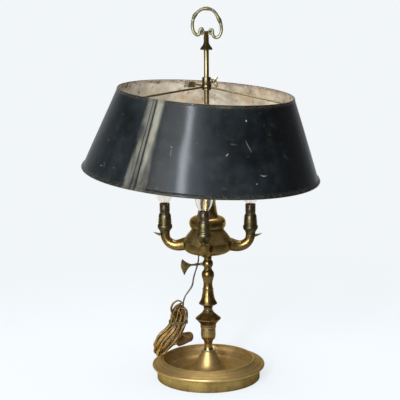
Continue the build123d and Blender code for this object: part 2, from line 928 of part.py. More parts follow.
def socket_sleeve(azimuth):
    with BuildPart() as candle:
        with BuildSketch(upright_plane(azimuth, socket_reach)):
            with BuildLine():
                Polyline(
                    (wire_radius, candle_floor - 1.6),
                    (candle_outer, candle_floor - 1.6),
                    (candle_outer, candle_top - 0.6),
                    (candle_outer - 0.6, candle_top),
                    (candle_outer - candle_wall, candle_top),
                    (candle_outer - candle_wall, candle_floor + 1.0),
                    (wire_radius, candle_floor + 1.0),
                    close=True,
                )
            make_face()
        revolve(axis=upright_axis(azimuth, socket_reach))
    return candle


cap_foot = candle_floor + 5.4
cap_top = cap_foot + cap_height
cap_wall = 0.8


def bulb_cap(azimuth):
    with BuildPart() as cap:
        with BuildSketch(upright_plane(azimuth, socket_reach)):
            with BuildLine():
                Polyline(
                    (0, cap_foot - 4.0),
                    (1.8, cap_foot - 4.0),
                    (2.4, cap_foot - 2.6),
                    (cap_radius - 1.0, cap_foot),
                    (cap_radius, cap_foot + 1.6),
                    (cap_radius, cap_top),
                    (cap_radius - cap_wall, cap_top),
                    (cap_radius - cap_wall, cap_foot + 2.6),
                    (0, cap_foot + 2.6),
                    close=True,
                )
            make_face()
        revolve(axis=upright_axis(azimuth, socket_reach))
    return cap


neck_radius = cap_radius - cap_wall - seat_gap
glass_foot = cap_top - 7.0
glass_top = candle_top + glass_height


def bulb_glass(azimuth):
    outside = [
        (neck_radius + 0.6, candle_top - 0.4),
        (0.56 * glass_radius, candle_top + 0.033 * glass_height),
        (0.78 * glass_radius, candle_top + 0.11 * glass_height),
        (0.93 * glass_radius, candle_top + 0.22 * glass_height),
        (glass_radius, candle_top + 0.37 * glass_height),
        (0.89 * glass_radius, candle_top + 0.56 * glass_height),
        (0.59 * glass_radius, candle_top + 0.767 * glass_height),
        (0.233 * glass_radius, candle_top + 0.918 * glass_height),
    ]
    with BuildPart() as glass:
        with BuildSketch(upright_plane(azimuth, socket_reach)):
            with BuildLine():
                outer = Spline(*outside)
                inner_line = Spline(*other_side(outside, -glass_wall))
                outer_tip = Spline(outer @ 1, (1.2, glass_top - 1.6), (0, glass_top), tangents=(outer % 1, (-1, 0)))
                inner_tip = Spline(
                    inner_line @ 1,
                    (0.7, glass_top - 3.6),
                    (0, glass_top - 2.6),
                    tangents=(inner_line % 1, (-1, 0)),
                )
                Line(outer_tip @ 1, inner_tip @ 1)
                Polyline(
                    outer @ 0,
                    (neck_radius, candle_top - 1.6),
                    (neck_radius, glass_foot),
                    (neck_radius - glass_wall, glass_foot),
                    inner_line @ 0,
                )
            make_face()
        revolve(axis=upright_axis(azimuth, socket_reach))
    return glass


for place, azimuth in spout_azimuths.items():
    keep(socket_husk(azimuth), f"socket_husk_{place}")
    keep(socket_sleeve(azimuth), f"socket_sleeve_{place}")
    keep(bulb_cap(azimuth), f"bulb_cap_{place}")
    keep(bulb_glass(azimuth), f"bulb_glass_{place}")

stem_radius = neck_radius - glass_wall - seat_gap

with BuildPart() as bulb_stems:
    for azimuth in spout_azimuths.values():
        with BuildSketch(upright_plane(azimuth, socket_reach)):
            with BuildLine():
                flare = Spline(
                    (stem_radius, glass_foot + 0.4),
                    (2.4, glass_foot + 6.0),
                    (1.5, glass_foot + 16.0),
                    (0.9, candle_top + 0.27 * glass_height),
                )
                Polyline(
                    flare @ 1,
                    (0.6, candle_top + 0.63 * glass_height),
                    (0, candle_top + 0.63 * glass_height),
                    (0, glass_foot + 0.4),
                    flare @ 0,
                )
            make_face()
        revolve(axis=upright_axis(azimuth, socket_reach))
keep(bulb_stems, "bulb_stems")


# ---- winged key through the knop ----

key_out = direction(key_azimuth)
key_side = Vector(0, 0, 1).cross(key_out)
wing_up = Vector(0, 0, cos(radians(key_roll))) - key_side * sin(radians(key_roll))
wing_plane = Plane(origin=(0, 0, knop_height), x_dir=key_out, z_dir=key_out.cross(wing_up))
key_tip = rod_radius + rest_gap

with BuildPart() as font_key:
    with BuildSketch(key_plane):
        with BuildLine():
            Polyline(
                (key_tip, 0),
                (key_tip, key_screw_radius - 0.4),
                (key_tip + 0.4, key_screw_radius),
                (knop_radius + 0.8, key_screw_radius),
                (knop_radius + 0.8, 2.8),
                (knop_radius + 2.4, 2.8),
                (knop_radius + 3.4, 2.0),
                (knop_radius + 7.0, 1.7),
                (knop_radius + 10.0, 2.3),
                (knop_radius + 12.0, 2.3),
                (key_neck_reach - 3.0, 1.7),
                (key_neck_reach + 3.0, 1.4),
                (key_neck_reach + 3.0, 0),
                close=True,
            )
        make_face()
    revolve(axis=Axis((0, 0, knop_height), key_out))
    with BuildSketch(wing_plane):
        with BuildLine():
            upper = Spline(
                (key_neck_reach, 1.7),
                (key_neck_reach + 6.6, 4.6),
                (key_reach - 3.6, wing_half_width),
            )
            lower = Spline(
                (key_neck_reach, -1.7),
                (key_neck_reach + 6.6, -4.6),
                (key_reach - 3.6, -wing_half_width),
            )
            Polyline(upper @ 1, (key_reach - 2.4, wing_half_width - 0.4), (key_reach - 1.4, 6.0), (key_reach, 0))
            Polyline((key_reach, 0), (key_reach - 1.4, -6.0), (key_reach - 2.4, -wing_half_width + 0.4), lower @ 1)
            Line(upper @ 0, lower @ 0)
        make_face()
    extrude(amount=wing_thickness / 2, both=True)
keep(font_key, "font_key")


# ---- shade and what carries it ----

right_tilt = radians(sag_right)
front_tilt = radians(sag_front)
shade_x = Vector(cos(right_tilt), 0, -sin(right_tilt))
shade_up = Vector(sin(right_tilt) * cos(front_tilt), -sin(front_tilt), cos(right_tilt) * cos(front_tilt))
shade_y = shade_up.cross(shade_x)
shade_axis = Axis((0, 0, hub_height), shade_up)


def shade_plane(azimuth):
    """An upright plane through the shade's own, crooked axis."""
    out = shade_x * sin(radians(azimuth)) - shade_y * cos(radians(azimuth))
    return Plane(origin=(0, 0, hub_height), x_dir=out, z_dir=out.cross(shade_up))


lower_rim = (shade_radius - lower_wire_radius, -shade_drop + lower_wire_radius)
upper_rim = (shade_top_radius - upper_wire_radius, -shade_drop + shade_height - upper_wire_radius)
shade_slope = (lower_rim[0] - upper_rim[0]) / (upper_rim[1] - lower_rim[1])
wall_across = shade_wall * hypot(1, shade_slope)


def shade_inside(height):
    """Radius of the shade's inner face at this height below the hub point."""
    return lower_rim[0] - shade_slope * (height - lower_rim[1]) - wall_across / 2


with BuildPart() as shade_bottom_wire:
    with BuildSketch(shade_plane(0)):
        with Locations(lower_rim):
            Circle(lower_wire_radius)
    revolve(axis=shade_axis)
keep(shade_bottom_wire, "shade_bottom_wire")

with BuildPart() as shade_top_wire:
    with BuildSketch(shade_plane(0)):
        with Locations(upper_rim):
            Circle(upper_wire_radius)
    revolve(axis=shade_axis)
keep(shade_top_wire, "shade_top_wire")


def shade_panel(azimuth):
    """Half of the cone, from this azimuth, with the folded seam along its first edge."""
    half = wall_across / 2
    with BuildPart() as panel:
        with BuildSketch(shade_plane(azimuth)):
            with BuildLine():
                Polyline(
                    (lower_rim[0] - half, lower_rim[1]),
                    (lower_rim[0] + half, lower_rim[1]),
                    (upper_rim[0] + half, upper_rim[1]),
                    (upper_rim[0] - half, upper_rim[1]),
                    close=True,
                )
            make_face()
        revolve(axis=shade_axis, revolution_arc=180)
        with BuildSketch(shade_plane(azimuth)):
            low = lower_rim[1] + 2 * lower_wire_radius
            high = upper_rim[1] - 2 * upper_wire_radius
            with BuildLine():
                Polyline(
                    (shade_inside(low) + half, low),
                    (shade_inside(low) + 4 * half, low),
                    (shade_inside(high) + 4 * half, high),
                    (shade_inside(high) + half, high),
                    close=True,
                )
            make_face()
        revolve(axis=shade_axis, revolution_arc=seam_angle)
        add(shade_bottom_wire.part, mode=Mode.SUBTRACT)
        add(shade_top_wire.part, mode=Mode.SUBTRACT)
    return panel


keep(shade_panel(seam_azimuth), "shade_panel_left")
keep(shade_panel(seam_azimuth + 180), "shade_panel_right")

clamp_foot = hub_height + 10.0 - clamp_length
clamp_top = clamp_foot + clamp_length
hub_foot = clamp_foot + clamp_flange + 0.1
hub_top = clamp_top - clamp_collar - 0.1
arm_height = (hub_foot + hub_top) / 2
screw_height = clamp_top - screw_drop

with BuildPart() as shade_clamp:
    with BuildSketch(Plane.XZ):
        with BuildLine():
            Polyline(
                (slide_bore, clamp_foot),
                (clamp_radius - 0.5, clamp_foot),
                (clamp_radius, clamp_foot + 0.6),
                (clamp_radius, clamp_foot + clamp_flange),
                (clamp_stem_radius, clamp_foot + clamp_flange),
                (clamp_stem_radius, clamp_top - clamp_collar),
                (clamp_radius, clamp_top - clamp_collar),
                (clamp_radius, clamp_top - 3.0),
                (clamp_radius - 0.4, clamp_top),
                (clamp_radius - 1.6, clamp_top),
                (clamp_radius - 1.8, clamp_top - 2.6),
                (slide_bore, clamp_top - 3.2),
                close=True,
            )
        make_face()
    revolve(axis=Axis.Z)
    with BuildSketch(Plane(origin=(0, 0, screw_height), z_dir=direction(screw_azimuth))):
        Circle(3.3)
    extrude(amount=clamp_radius + 3.0)
    with BuildSketch(Plane.XY.offset(clamp_foot)):
        Circle(slide_bore)
    extrude(amount=clamp_top - clamp_foot, mode=Mode.SUBTRACT)
    with BuildSketch(Plane(origin=(0, 0, screw_height), z_dir=direction(screw_azimuth))):
        Circle(screw_radius + slide_gap)
    extrude(amount=clamp_radius + 5.0, mode=Mode.SUBTRACT)
keep(shade_clamp, "shade_clamp")

screw_out = direction(screw_azimuth)
screw_plane = Plane(
    origin=(0, 0, screw_height),
    x_dir=screw_out,
    z_dir=screw_out.cross(Vector(0, 0, 1)),
)
boss_end = clamp_radius + 3.0

with BuildPart() as shade_screw:
    with BuildSketch(screw_plane):
        with BuildLine():
            Polyline(
                (rod_radius + rest_gap, 0),
                (rod_radius + rest_gap, screw_radius),
                (boss_end + rest_gap, screw_radius),
                (boss_end + rest_gap, 2.4),
                (boss_end + 2.4, 2.4),
                (boss_end + 3.4, 1.6),
                (boss_end + 3.4, 0),
                close=True,
            )
        make_face()
    revolve(axis=Axis((0, 0, screw_height), screw_out))
    with BuildSketch(screw_plane):
        with BuildLine():
            Polyline(
                (boss_end + 1.2, 1.6),
                (boss_end + 4.2, 5.6),
                (screw_reach - 0.6, 6.6),
                (screw_reach, 5.4),
                (screw_reach - 2.4, 1.0),
                (screw_reach - 2.4, -1.0),
                (screw_reach, -5.4),
                (screw_reach - 0.6, -6.6),
                (boss_end + 4.2, -5.6),
                (boss_end + 1.2, -1.6),
                close=True,
            )
        make_face()
    extrude(amount=0.9, both=True)
keep(shade_screw, "shade_screw")

with BuildPart() as spider_hub:
    with BuildSketch(Plane.XZ):
        with BuildLine():
            Polyline(
                (clamp_stem_radius + slide_gap, hub_foot),
                (hub_radius - 0.6, hub_foot),
                (hub_radius, hub_foot + 1.4),
                (hub_radius, hub_top - 1.4),
                (hub_radius - 0.6, hub_top),
                (clamp_stem_radius + slide_gap, hub_top),
                close=True,
            )
        make_face()
    revolve(axis=Axis.Z)
keep(spider_hub, "spider_hub")

arm_end = upper_rim[1] - arm_end_drop

with BuildPart() as hub_core:  # what the arms stop against
    with BuildSketch(Plane.XY.offset(hub_foot - 10)):
        Circle(hub_radius)
    extrude(amount=hub_top - hub_foot + 20)

with BuildPart() as shade_space:  # the room inside the shade, which the arms fill to its wall
    with BuildSketch(shade_plane(0)):
        with BuildLine():
            Polyline(
                (0, lower_rim[1]),
                (shade_inside(lower_rim[1]) - 0.05, lower_rim[1]),
                (shade_inside(20) - 0.05, 20),
                (0, 20),
                close=True,
            )
        make_face()
    revolve(axis=shade_axis)

with BuildPart() as spider_arms:
    for azimuth in arm_azimuths:
        out = shade_x * sin(radians(azimuth)) - shade_y * cos(radians(azimuth))
        start = Vector(0, 0, arm_height)
        end = Vector(0, 0, hub_height) + out * (shade_inside(arm_end) + 3) + shade_up * arm_end
        with BuildSketch(Plane(origin=start, z_dir=end - start)):
            Circle(arm_radius)
        extrude(amount=(end - start).length)
        with BuildSketch(shade_plane(azimuth - tab_angle / 2)):
            top = arm_end + tab_height / 2 - 2
            foot_of_tab = top - tab_height
            with BuildLine():
                Polyline(
                    (shade_inside(foot_of_tab), foot_of_tab),
                    (shade_inside(top), top),
                    (shade_inside(top) - 1.4, top),
                    (shade_inside(foot_of_tab) - 1.4, foot_of_tab),
                    close=True,
                )
            make_face()
        revolve(axis=shade_axis, revolution_arc=tab_angle)
    add(shade_space.part, mode=Mode.INTERSECT)
    add(hub_core.part, mode=Mode.SUBTRACT)
keep(spider_arms, "spider_arms")


# ---- lead: drop, hank, tail and plug ----

drop_route = [
    (bush_place.X, bush_place.Y, bush_foot - seat_gap),
    (bush_place.X, bush_place.Y, 191.4),
    (-18.6, 9.6, 179.0),
    (-23.6, 12.6, 163.4),
    (-25.2, 16.0, 149.2),
    (-31.4, 18.6, 139.4),
    (-38.2, 20.0, 130.0),
    (-41.6, 20.2, hank_top - 2),
]
plug_sections = [  # middle, the way the plug runs, half depth, half height
    ((-31.0, 43.6, 53.0), (0, 1, -0.1), 4.6, 4.8),
    ((-31.2, 47.0, 52.6), (-0.25, 1, -0.1), 7.0, 7.6),
    ((-35.5, 53.0, 50.2), (-1, 0.75, -0.35), 7.6, 9.0),
    ((-44.0, 56.2, 46.4), (-1, 0.3, -0.4), 7.2, 10.4),
    ((-54.0, 58.2, 43.4), (-1, 0.2, -0.3), 7.0, 11.0),
]
tail_route = [
    (-31.0, 44.6, 52.9),
    (-31.8, 34.6, 55.2),
    (-37.0, 27.4, 60.6),
    (-45.0, 23.0, 66.0),
]


def lead(route):
    with BuildPart() as tube:
        with BuildLine() as route_line:
            FilletPolyline(*route, radius=route_radii(route))
        with BuildSketch(Plane(route_line.line @ 0, z_dir=route_line.line % 0)):
            Circle(cord_diameter / 2)
        sweep(path=route_line.line)
    length = sum(edge.length for edge in route_line.edges())
    section = pi * cord_diameter**2 / 4
    print("lead", round(length, 1), "mm, radii", [round(r) for r in route_radii(route)])
    print("volume against section x length", round(tube.part.volume / (section * length), 4))
    return tube


hank_sections = [  # left and right edge as x and z, middle y, half depth
    ((-46.6, hank_top), (-36.6, hank_top), 20.2, 4.4),
    ((-56.5, 110.5), (-33.0, 111.5), 20.0, 7.4),
    ((-63.6, 97.0), (-30.6, 98.0), 19.6, 9.6),
    ((-64.2, 86.0), (-33.6, 85.0), 19.2, 10.6),
    ((-71.5, 75.5), (-38.6, 71.0), 18.4, 11.4),
    ((-84.5, 66.0), (-47.4, 56.0), 17.0, 11.4),
    ((-90.2, 51.0), (-60.6, 42.8), 15.4, 10.6),
    ((-90.0, 38.6), (-73.0, 34.6), 14.4, 9.0),
    ((-86.6, 31.0), (-79.4, 29.2), 14.0, 5.0),
]

with BuildPart() as cord_hank:
    for left, right, depth, half_depth in hank_sections:
        middle = Vector((left[0] + right[0]) / 2, depth, (left[1] + right[1]) / 2)
        across = Vector(right[0] - left[0], 0, right[1] - left[1])
        with BuildSketch(Plane(origin=middle, x_dir=across, z_dir=across.cross(Vector(0, 1, 0)))):
            Ellipse(across.length / 2, half_depth)
    loft()
keep(cord_hank, "cord_hank")


def plug_plane(middle, way):
    way = Vector(*way)
    return Plane(origin=middle, x_dir=way.cross(Vector(0, 0, 1)), z_dir=way)


face_middle, face_way = plug_sections[-1][:2]

with BuildPart() as plug_body:
    for middle, way, half_depth, half_height in plug_sections:
        with BuildSketch(plug_plane(middle, way)):
            Ellipse(half_depth, half_height)
    loft()
    with BuildSketch(plug_plane(face_middle, face_way)):
        with GridLocations(1, blade_spacing, 1, 2):
            Rectangle(blade_width + 2 * seat_gap, blade_thickness + 2 * seat_gap)
    extrude(amount=-blade_root, mode=Mode.SUBTRACT)
keep(plug_body, "plug_body")

with BuildPart() as plug_blades:
    with BuildSketch(plug_plane(face_middle, face_way).offset(-blade_root)):
        with GridLocations(1, blade_spacing, 1, 2):
            Rectangle(blade_width, blade_thickness)
    extrude(amount=blade_length + blade_root)
keep(plug_blades, "plug_blades")

cord_drop = lead(drop_route)
with cord_drop:
    add(cord_hank.part, mode=Mode.SUBTRACT)
keep(cord_drop, "cord_drop")

cord_tail = lead(tail_route)
with cord_tail:
    add(cord_hank.part, mode=Mode.SUBTRACT)
    add(plug_body.part, mode=Mode.SUBTRACT)
keep(cord_tail, "cord_tail")
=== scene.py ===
import json
from functools import partial, reduce
from itertools import accumulate
from math import atan2, cos, degrees, hypot, pi, radians, sin

import bmesh
import bpy
from mathutils import Matrix, Vector, noise


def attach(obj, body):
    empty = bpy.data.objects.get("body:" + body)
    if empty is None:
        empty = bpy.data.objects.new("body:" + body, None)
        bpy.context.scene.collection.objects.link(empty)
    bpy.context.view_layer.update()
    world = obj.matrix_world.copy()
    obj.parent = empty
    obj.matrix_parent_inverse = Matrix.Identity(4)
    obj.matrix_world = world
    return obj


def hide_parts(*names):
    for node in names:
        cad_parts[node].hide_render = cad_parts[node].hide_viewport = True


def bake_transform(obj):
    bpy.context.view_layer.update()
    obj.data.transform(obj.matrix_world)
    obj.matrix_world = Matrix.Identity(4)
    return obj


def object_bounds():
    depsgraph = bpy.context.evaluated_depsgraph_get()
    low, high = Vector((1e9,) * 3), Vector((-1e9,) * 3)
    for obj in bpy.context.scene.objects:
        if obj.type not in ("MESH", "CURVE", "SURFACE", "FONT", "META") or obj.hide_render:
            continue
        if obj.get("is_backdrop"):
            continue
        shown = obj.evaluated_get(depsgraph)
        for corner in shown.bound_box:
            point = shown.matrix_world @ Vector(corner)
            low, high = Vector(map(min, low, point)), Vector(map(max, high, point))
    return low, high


# Bouillotte lamp, in metres: origin in the middle of the foot, +Z up, -Y the front.
# Azimuths turn from the front (-Y) towards the right (+X). Lists given in mm say so.

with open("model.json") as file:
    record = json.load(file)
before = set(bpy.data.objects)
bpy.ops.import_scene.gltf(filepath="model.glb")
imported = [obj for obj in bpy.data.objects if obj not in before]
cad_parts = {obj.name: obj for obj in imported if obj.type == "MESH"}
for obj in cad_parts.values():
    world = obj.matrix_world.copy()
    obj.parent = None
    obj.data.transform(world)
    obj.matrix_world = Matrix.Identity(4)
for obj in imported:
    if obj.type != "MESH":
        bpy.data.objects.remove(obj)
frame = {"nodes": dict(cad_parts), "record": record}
nodes = frame["nodes"]
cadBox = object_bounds()
print("frame loaded:", len(nodes), "nodes")
weldWithin = 0.000002  # points nearer to each other than this are one
depthWay = Vector((0, 1, 0))


# small tools


def direction(azimuth):
    return Vector((sin(radians(azimuth)), -cos(radians(azimuth)), 0))


def inMetres(rows):
    return [tuple(v / 1000 for v in row) for row in rows]


def distances(line):
    return list(accumulate(((b - a).length for a, b in zip(line, line[1:])), initial=0.0))


def bell(away, width):
    return 2.718 ** (-((away / width) ** 2))


def roundSection(radius, count, flat=1.0):
    angles = [pi * k / (count / 2) for k in range(count)]
    return [(radius * cos(angle), flat * radius * sin(angle)) for angle in angles]


def linked(piece):
    bpy.context.scene.collection.objects.link(piece)
    return piece


def clearSelection():
    if bpy.context.object is not None and bpy.context.object.mode != "OBJECT":
        bpy.ops.object.mode_set(mode="OBJECT")
    bpy.ops.object.select_all(action="DESELECT")


def takeUp(piece):
    clearSelection()
    piece.select_set(True)
    bpy.context.view_layer.objects.active = piece


def settle(piece):
    takeUp(piece)
    bpy.ops.object.transform_apply(location=True, rotation=True, scale=True)


def added(name, operation, **settings):
    clearSelection()
    operation(**settings)
    piece = bpy.context.object
    piece.name = name
    settle(piece)
    return piece


def startEdit(piece, kind="FACE"):
    takeUp(piece)
    bpy.ops.object.mode_set(mode="EDIT")
    bpy.ops.mesh.select_mode(type=kind)


def onAll(operation, **settings):
    bpy.ops.mesh.select_all(action="SELECT")
    operation(**settings)


def endEdit(outward=False):
    if outward:
        onAll(bpy.ops.mesh.normals_make_consistent, inside=False)
    bpy.ops.object.mode_set(mode="OBJECT")


def applyModifier(piece, kind, **settings):
    takeUp(piece)
    modifier = piece.modifiers.new(kind.title(), kind)
    for key, value in settings.items():
        setattr(modifier, key, value)
    bpy.ops.object.modifier_apply(modifier=modifier.name)


def easeEdges(piece, width, angle):
    settings = {"limit_method": "ANGLE", "angle_limit": radians(angle)}
    applyModifier(piece, "BEVEL", width=width, segments=2, **settings)


def smoothByAngle(piece, angle=32):
    takeUp(piece)
    bpy.ops.object.shade_smooth_by_angle(angle=radians(angle))


def meshPiece(name, points, faces):
    mesh = bpy.data.meshes.new(name)
    mesh.from_pydata([tuple(p) for p in points], [], faces)
    mesh.update()
    return linked(bpy.data.objects.new(name, mesh))


def selectWhere(piece, test, kind="faces"):
    edit = bmesh.from_edit_mesh(piece.data)
    for part in (*edit.faces, *edit.verts):
        part.select = False
    for part in filter(test, getattr(edit, kind)[:]):
        part.select = True
    edit.select_flush_mode()
    bmesh.update_edit_mesh(piece.data)


def turnPiece(name, profile, foot=(0, 0, 0), way=(0, 0, 1), segments=48):
    radius, height = profile[0]
    circle = {"vertices": segments, "radius": radius, "location": (0, 0, height)}
    piece = added(name, bpy.ops.mesh.primitive_circle_add, **circle)
    startEdit(piece, "EDGE")
    bpy.ops.mesh.select_all(action="SELECT")
    for before, after in zip(profile, profile[1:]):
        bpy.ops.mesh.extrude_edges_move(TRANSFORM_OT_translate={"value": (0, 0, after[1] - before[1])})
        share = after[0] / before[0]
        bpy.ops.transform.resize(value=(share, share, 1), center_override=(0, 0, after[1]))
    onAll(bpy.ops.mesh.remove_doubles, threshold=weldWithin)
    onAll(bpy.ops.mesh.fill_holes, sides=0)
    endEdit(outward=True)
    turn = Vector(way).to_track_quat("Z", "Y").to_matrix().to_4x4()
    turn.translation = Vector(foot)
    piece.data.transform(turn)
    piece.data.update()
    return piece


def softenedCopy(name, node, width):
    piece = linked(bpy.data.objects.new(name, nodes[node].data.copy()))
    piece.data.materials.clear()
    startEdit(piece)
    onAll(bpy.ops.mesh.remove_doubles, threshold=weldWithin)
    onAll(bpy.ops.mesh.dissolve_limited, angle_limit=radians(0.6))
    endEdit(outward=True)
    easeEdges(piece, width, 35)
    smoothByAngle(piece)
    return piece


def joined(name, pieces):
    clearSelection()
    for piece in pieces:
        piece.select_set(True)
    bpy.context.view_layer.objects.active = pieces[0]
    bpy.ops.object.join()
    pieces[0].name = name
    return pieces[0]


def moved(piece, name, offset):
    copy = bpy.data.objects.new(name, piece.data.copy())
    copy.data.transform(Matrix.Translation(offset))
    return linked(copy)


def finish(piece, body, slot, materials, *replaced):
    for material in materials:
        piece.data.materials.append(bpy.data.materials[material])
    if replaced:
        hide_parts(*replaced)
    if body:
        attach(piece, body)


# camera

camera = {
    "place": (0, -1.781, 0.6016),
    "lens": 101.5,
    "turn": (0.38, 80.2, -0.46),  # about Z, X and the line of sight, in degrees
}
eye = bpy.data.objects.new("camera", bpy.data.cameras.new("camera"))
eye.data.lens = camera["lens"]
eye.data.sensor_width = 36
eye.data.clip_start = 0.05
yaw, pitch, roll = (radians(a) for a in camera["turn"])
eye.matrix_world = (
    Matrix.Translation(camera["place"])
    @ Matrix.Rotation(yaw, 4, "Z")
    @ Matrix.Rotation(pitch, 4, "X")
    @ Matrix.Rotation(roll, 4, "Z")
)
linked(eye)
bpy.context.scene.camera = eye

# lead

lead = {
    "drop": [  # from the bush under the reservoir to the head of the hank
        (-0.01487, 0.00824, 0.20235),
        (-0.01487, 0.00824, 0.1914),
        (-0.0186, 0.0096, 0.1790),
        (-0.0236, 0.0126, 0.1634),
        (-0.0252, 0.0160, 0.1492),
        (-0.0314, 0.0186, 0.1394),
        (-0.0382, 0.0200, 0.1300),
        (-0.0416, 0.0202, 0.1170),
    ],
    "tail": [  # from the hank to the plug
        (-0.0450, 0.0230, 0.0660),
        (-0.0370, 0.0274, 0.0606),
        (-0.0318, 0.0346, 0.0552),
        (-0.0310, 0.0446, 0.0529),
    ],
    "length": 1.8,
    "width": 0.0048,
    "core": 0.00115,  # radius of each of the two cores
    "waist": 0.62,
    "twists": [(0.9, 31, 0), (0.5, 73, 1.1)],  # how far, step and start
    "startTwist": 1.3,  # how far the stretch that hangs free is turned
    "freeLength": 0.115,
    "freeOver": 0.03,  # length over which that turn fades out
    "lastStrand": [(0.0250, 0.70, 0.60), (0.0370, 0.68, 0.62)],  # along the hank, side and depth (shares)
}
hank = {
    "sections": [  # left edge, right edge (x, z), depth of the middle, half depth
        ((-0.0466, 0.1190), (-0.0366, 0.1190), 0.0202, 0.0044),
        ((-0.0565, 0.1105), (-0.0330, 0.1115), 0.0200, 0.0074),
        ((-0.0636, 0.0970), (-0.0306, 0.0980), 0.0196, 0.0096),
        ((-0.0642, 0.0860), (-0.0336, 0.0850), 0.0192, 0.0106),
        ((-0.0715, 0.0755), (-0.0386, 0.0710), 0.0184, 0.0114),
        ((-0.0845, 0.0660), (-0.0474, 0.0560), 0.0170, 0.0114),
        ((-0.0902, 0.0510), (-0.0606, 0.0428), 0.0154, 0.0106),
        ((-0.0900, 0.0386), (-0.0730, 0.0346), 0.0144, 0.0090),
        ((-0.0866, 0.0310), (-0.0794, 0.0292), 0.0140, 0.0050),
    ],
    # top and bottom along the hank, middle across and in depth, reach (shares), turn about the hank
    "turns": [
        (0.0050, 0.0965, -0.19, 0.25, 0.97, 38),
        (0.0085, 0.0900, -0.12, 0.30, 0.83, 121),
        (0.0020, 0.0985, 0.03, 0.45, 0.97, -15),
        (0.0110, 0.0870, -0.50, -0.32, 0.88, 142),
        (0.0060, 0.0990, -0.11, -0.45, 0.80, 70),
        (0.0100, 0.0930, 0.24, 0.45, 0.66, 123),
        (0.0035, 0.0890, -0.44, -0.26, 0.64, 63),
        (0.0075, 0.0975, 0.16, 0.45, 0.91, 78),
        (0.0090, 0.0950, 0.16, -0.45, 0.96, -34),
    ],
    "arcAfter": 6,  # the turn whose upper end stands clear of the hank in a thin arc
    "arc": [
        (-0.0590, 0.0150, 0.1030),
        (-0.0612, 0.0140, 0.1110),
        (-0.0580, 0.0136, 0.1195),
        (-0.0505, 0.0140, 0.1250),
        (-0.0440, 0.0150, 0.1228),
        (-0.0402, 0.0165, 0.1140),
    ],
    "capRadius": 0.0115,
    "skin": 0.0013,  # kept free in depth
    "easeFrom": 0.78,  # share of a turn after which it goes over into the next
    "easeOver": 0.22,
    "wander": [  # across and in depth: how far, then the noise's step per turn, start, along and per side
        (0.13, 7.3, 0, 45, 1.7),
        (0.16, 3.1, 40, 38, 2.3),
    ],
    "runPoints": 8,
    "capPoints": 5,
    "bulges": [  # turn, side, along, how far out, how wide
        (2, -1, 0.0200, 0.0038, 0.0060),
        (4, 1, 0.0185, 0.0050, 0.0060),
        (6, -1, 0.0125, 0.0056, 0.0095),
        (0, 1, 0.0300, 0.0020, 0.0070),
    ],
}


def hankMiddle(left, right, depth):
    return Vector(((left[0] + right[0]) / 2, depth, (left[1] + right[1]) / 2))


def hankAcross(left, right):
    return Vector((right.x - left.x, 0, right.y - left.y)).normalized()


alongs = distances([hankMiddle(*section[:3]) for section in hank["sections"]])


def hankSection(along):
    along = min(max(along, 0.0), alongs[-1])
    i = max(k for k in range(len(alongs) - 1) if alongs[k] <= along + 1e-9)
    share = (along - alongs[i]) / (alongs[i + 1] - alongs[i])
    first, second = hank["sections"][i], hank["sections"][i + 1]
    left, right = (Vector(first[k]).lerp(Vector(second[k]), share) for k in (0, 1))
    depth, half = (first[k] + share * (second[k] - first[k]) for k in (2, 3))
    return left, right, depth, half


def hankPoint(along, side, deep, out=0.0, capTop=0.0, capBottom=1.0):
    left, right, depth, _ = hankSection(along)
    wideLeft, wideRight, _, wideHalf = hankSection(min(max(along, capTop), capBottom))
    room = (wideRight - wideLeft).length / 2 - lead["width"] / 2
    sideways = hankAcross(left, right) * (side * room + out)
    return hankMiddle(left, right, depth) + sideways + depthWay * deep * (wideHalf - hank["skin"])


def strandPlace(turn, side):
    _, _, centre, centreDeep, reach, angle = turn
    angle = radians(angle)
    return centre + reach * cos(angle) * side, centreDeep + reach * sin(angle) * side


def hankWander(number, along, side):
    for far, step, start, fine, apart in hank["wander"]:
        yield far * noise.noise(Vector((number * step + start, along * fine, side * apart)))


def hankTurn(number, turn, following):
    runs, caps, radius = hank["runPoints"], hank["capPoints"], hank["capRadius"]
    first, last = turn[0] + radius, turn[1] - radius
    capShares = [pi * i / (caps + 1) for i in range(1, caps + 1)]
    spots = []  # along, side
    for start, end, side in ((first, last, 1.0), (last, first, -1.0)):
        spots += [(start + (end - start) * i / (runs - 1), side) for i in range(runs)]
        spots += [(end + side * radius * sin(share), side * cos(share)) for share in capShares]
    if number == hank["arcAfter"]:
        spots = spots[: -caps - 2]
    points = []
    for i, (along, side) in enumerate(spots):
        done = max(0.0, (i / len(spots) - hank["easeFrom"]) / hank["easeOver"])
        ease = done * done * (3 - 2 * done)
        places = zip(strandPlace(turn, side), strandPlace(following, side), hankWander(number, along, side))
        lateral, deep = (here * (1 - ease) + there * ease + stray for here, there, stray in places)
        size = hypot(lateral, deep)
        if size > 1:
            lateral, deep = lateral / size, deep / size
        out = sum(
            sign * height * bell(along - place, width)
            for turnNumber, sign, place, height, width in hank["bulges"]
            if turnNumber == number and sign * side > 0.5
        )
        points.append(hankPoint(along, lateral, deep, out, first, last))
    if number == hank["arcAfter"]:
        points += [Vector(point) for point in hank["arc"]]
    return points


leadPoints = [Vector(p) for p in lead["drop"]]
for number, (turn, following) in enumerate(zip(hank["turns"], hank["turns"][1:] + hank["turns"][-1:])):
    leadPoints += hankTurn(number, turn, following)
leadPoints += [hankPoint(*spot) for spot in lead["lastStrand"]]
leadPoints += [Vector(p) for p in lead["tail"]]


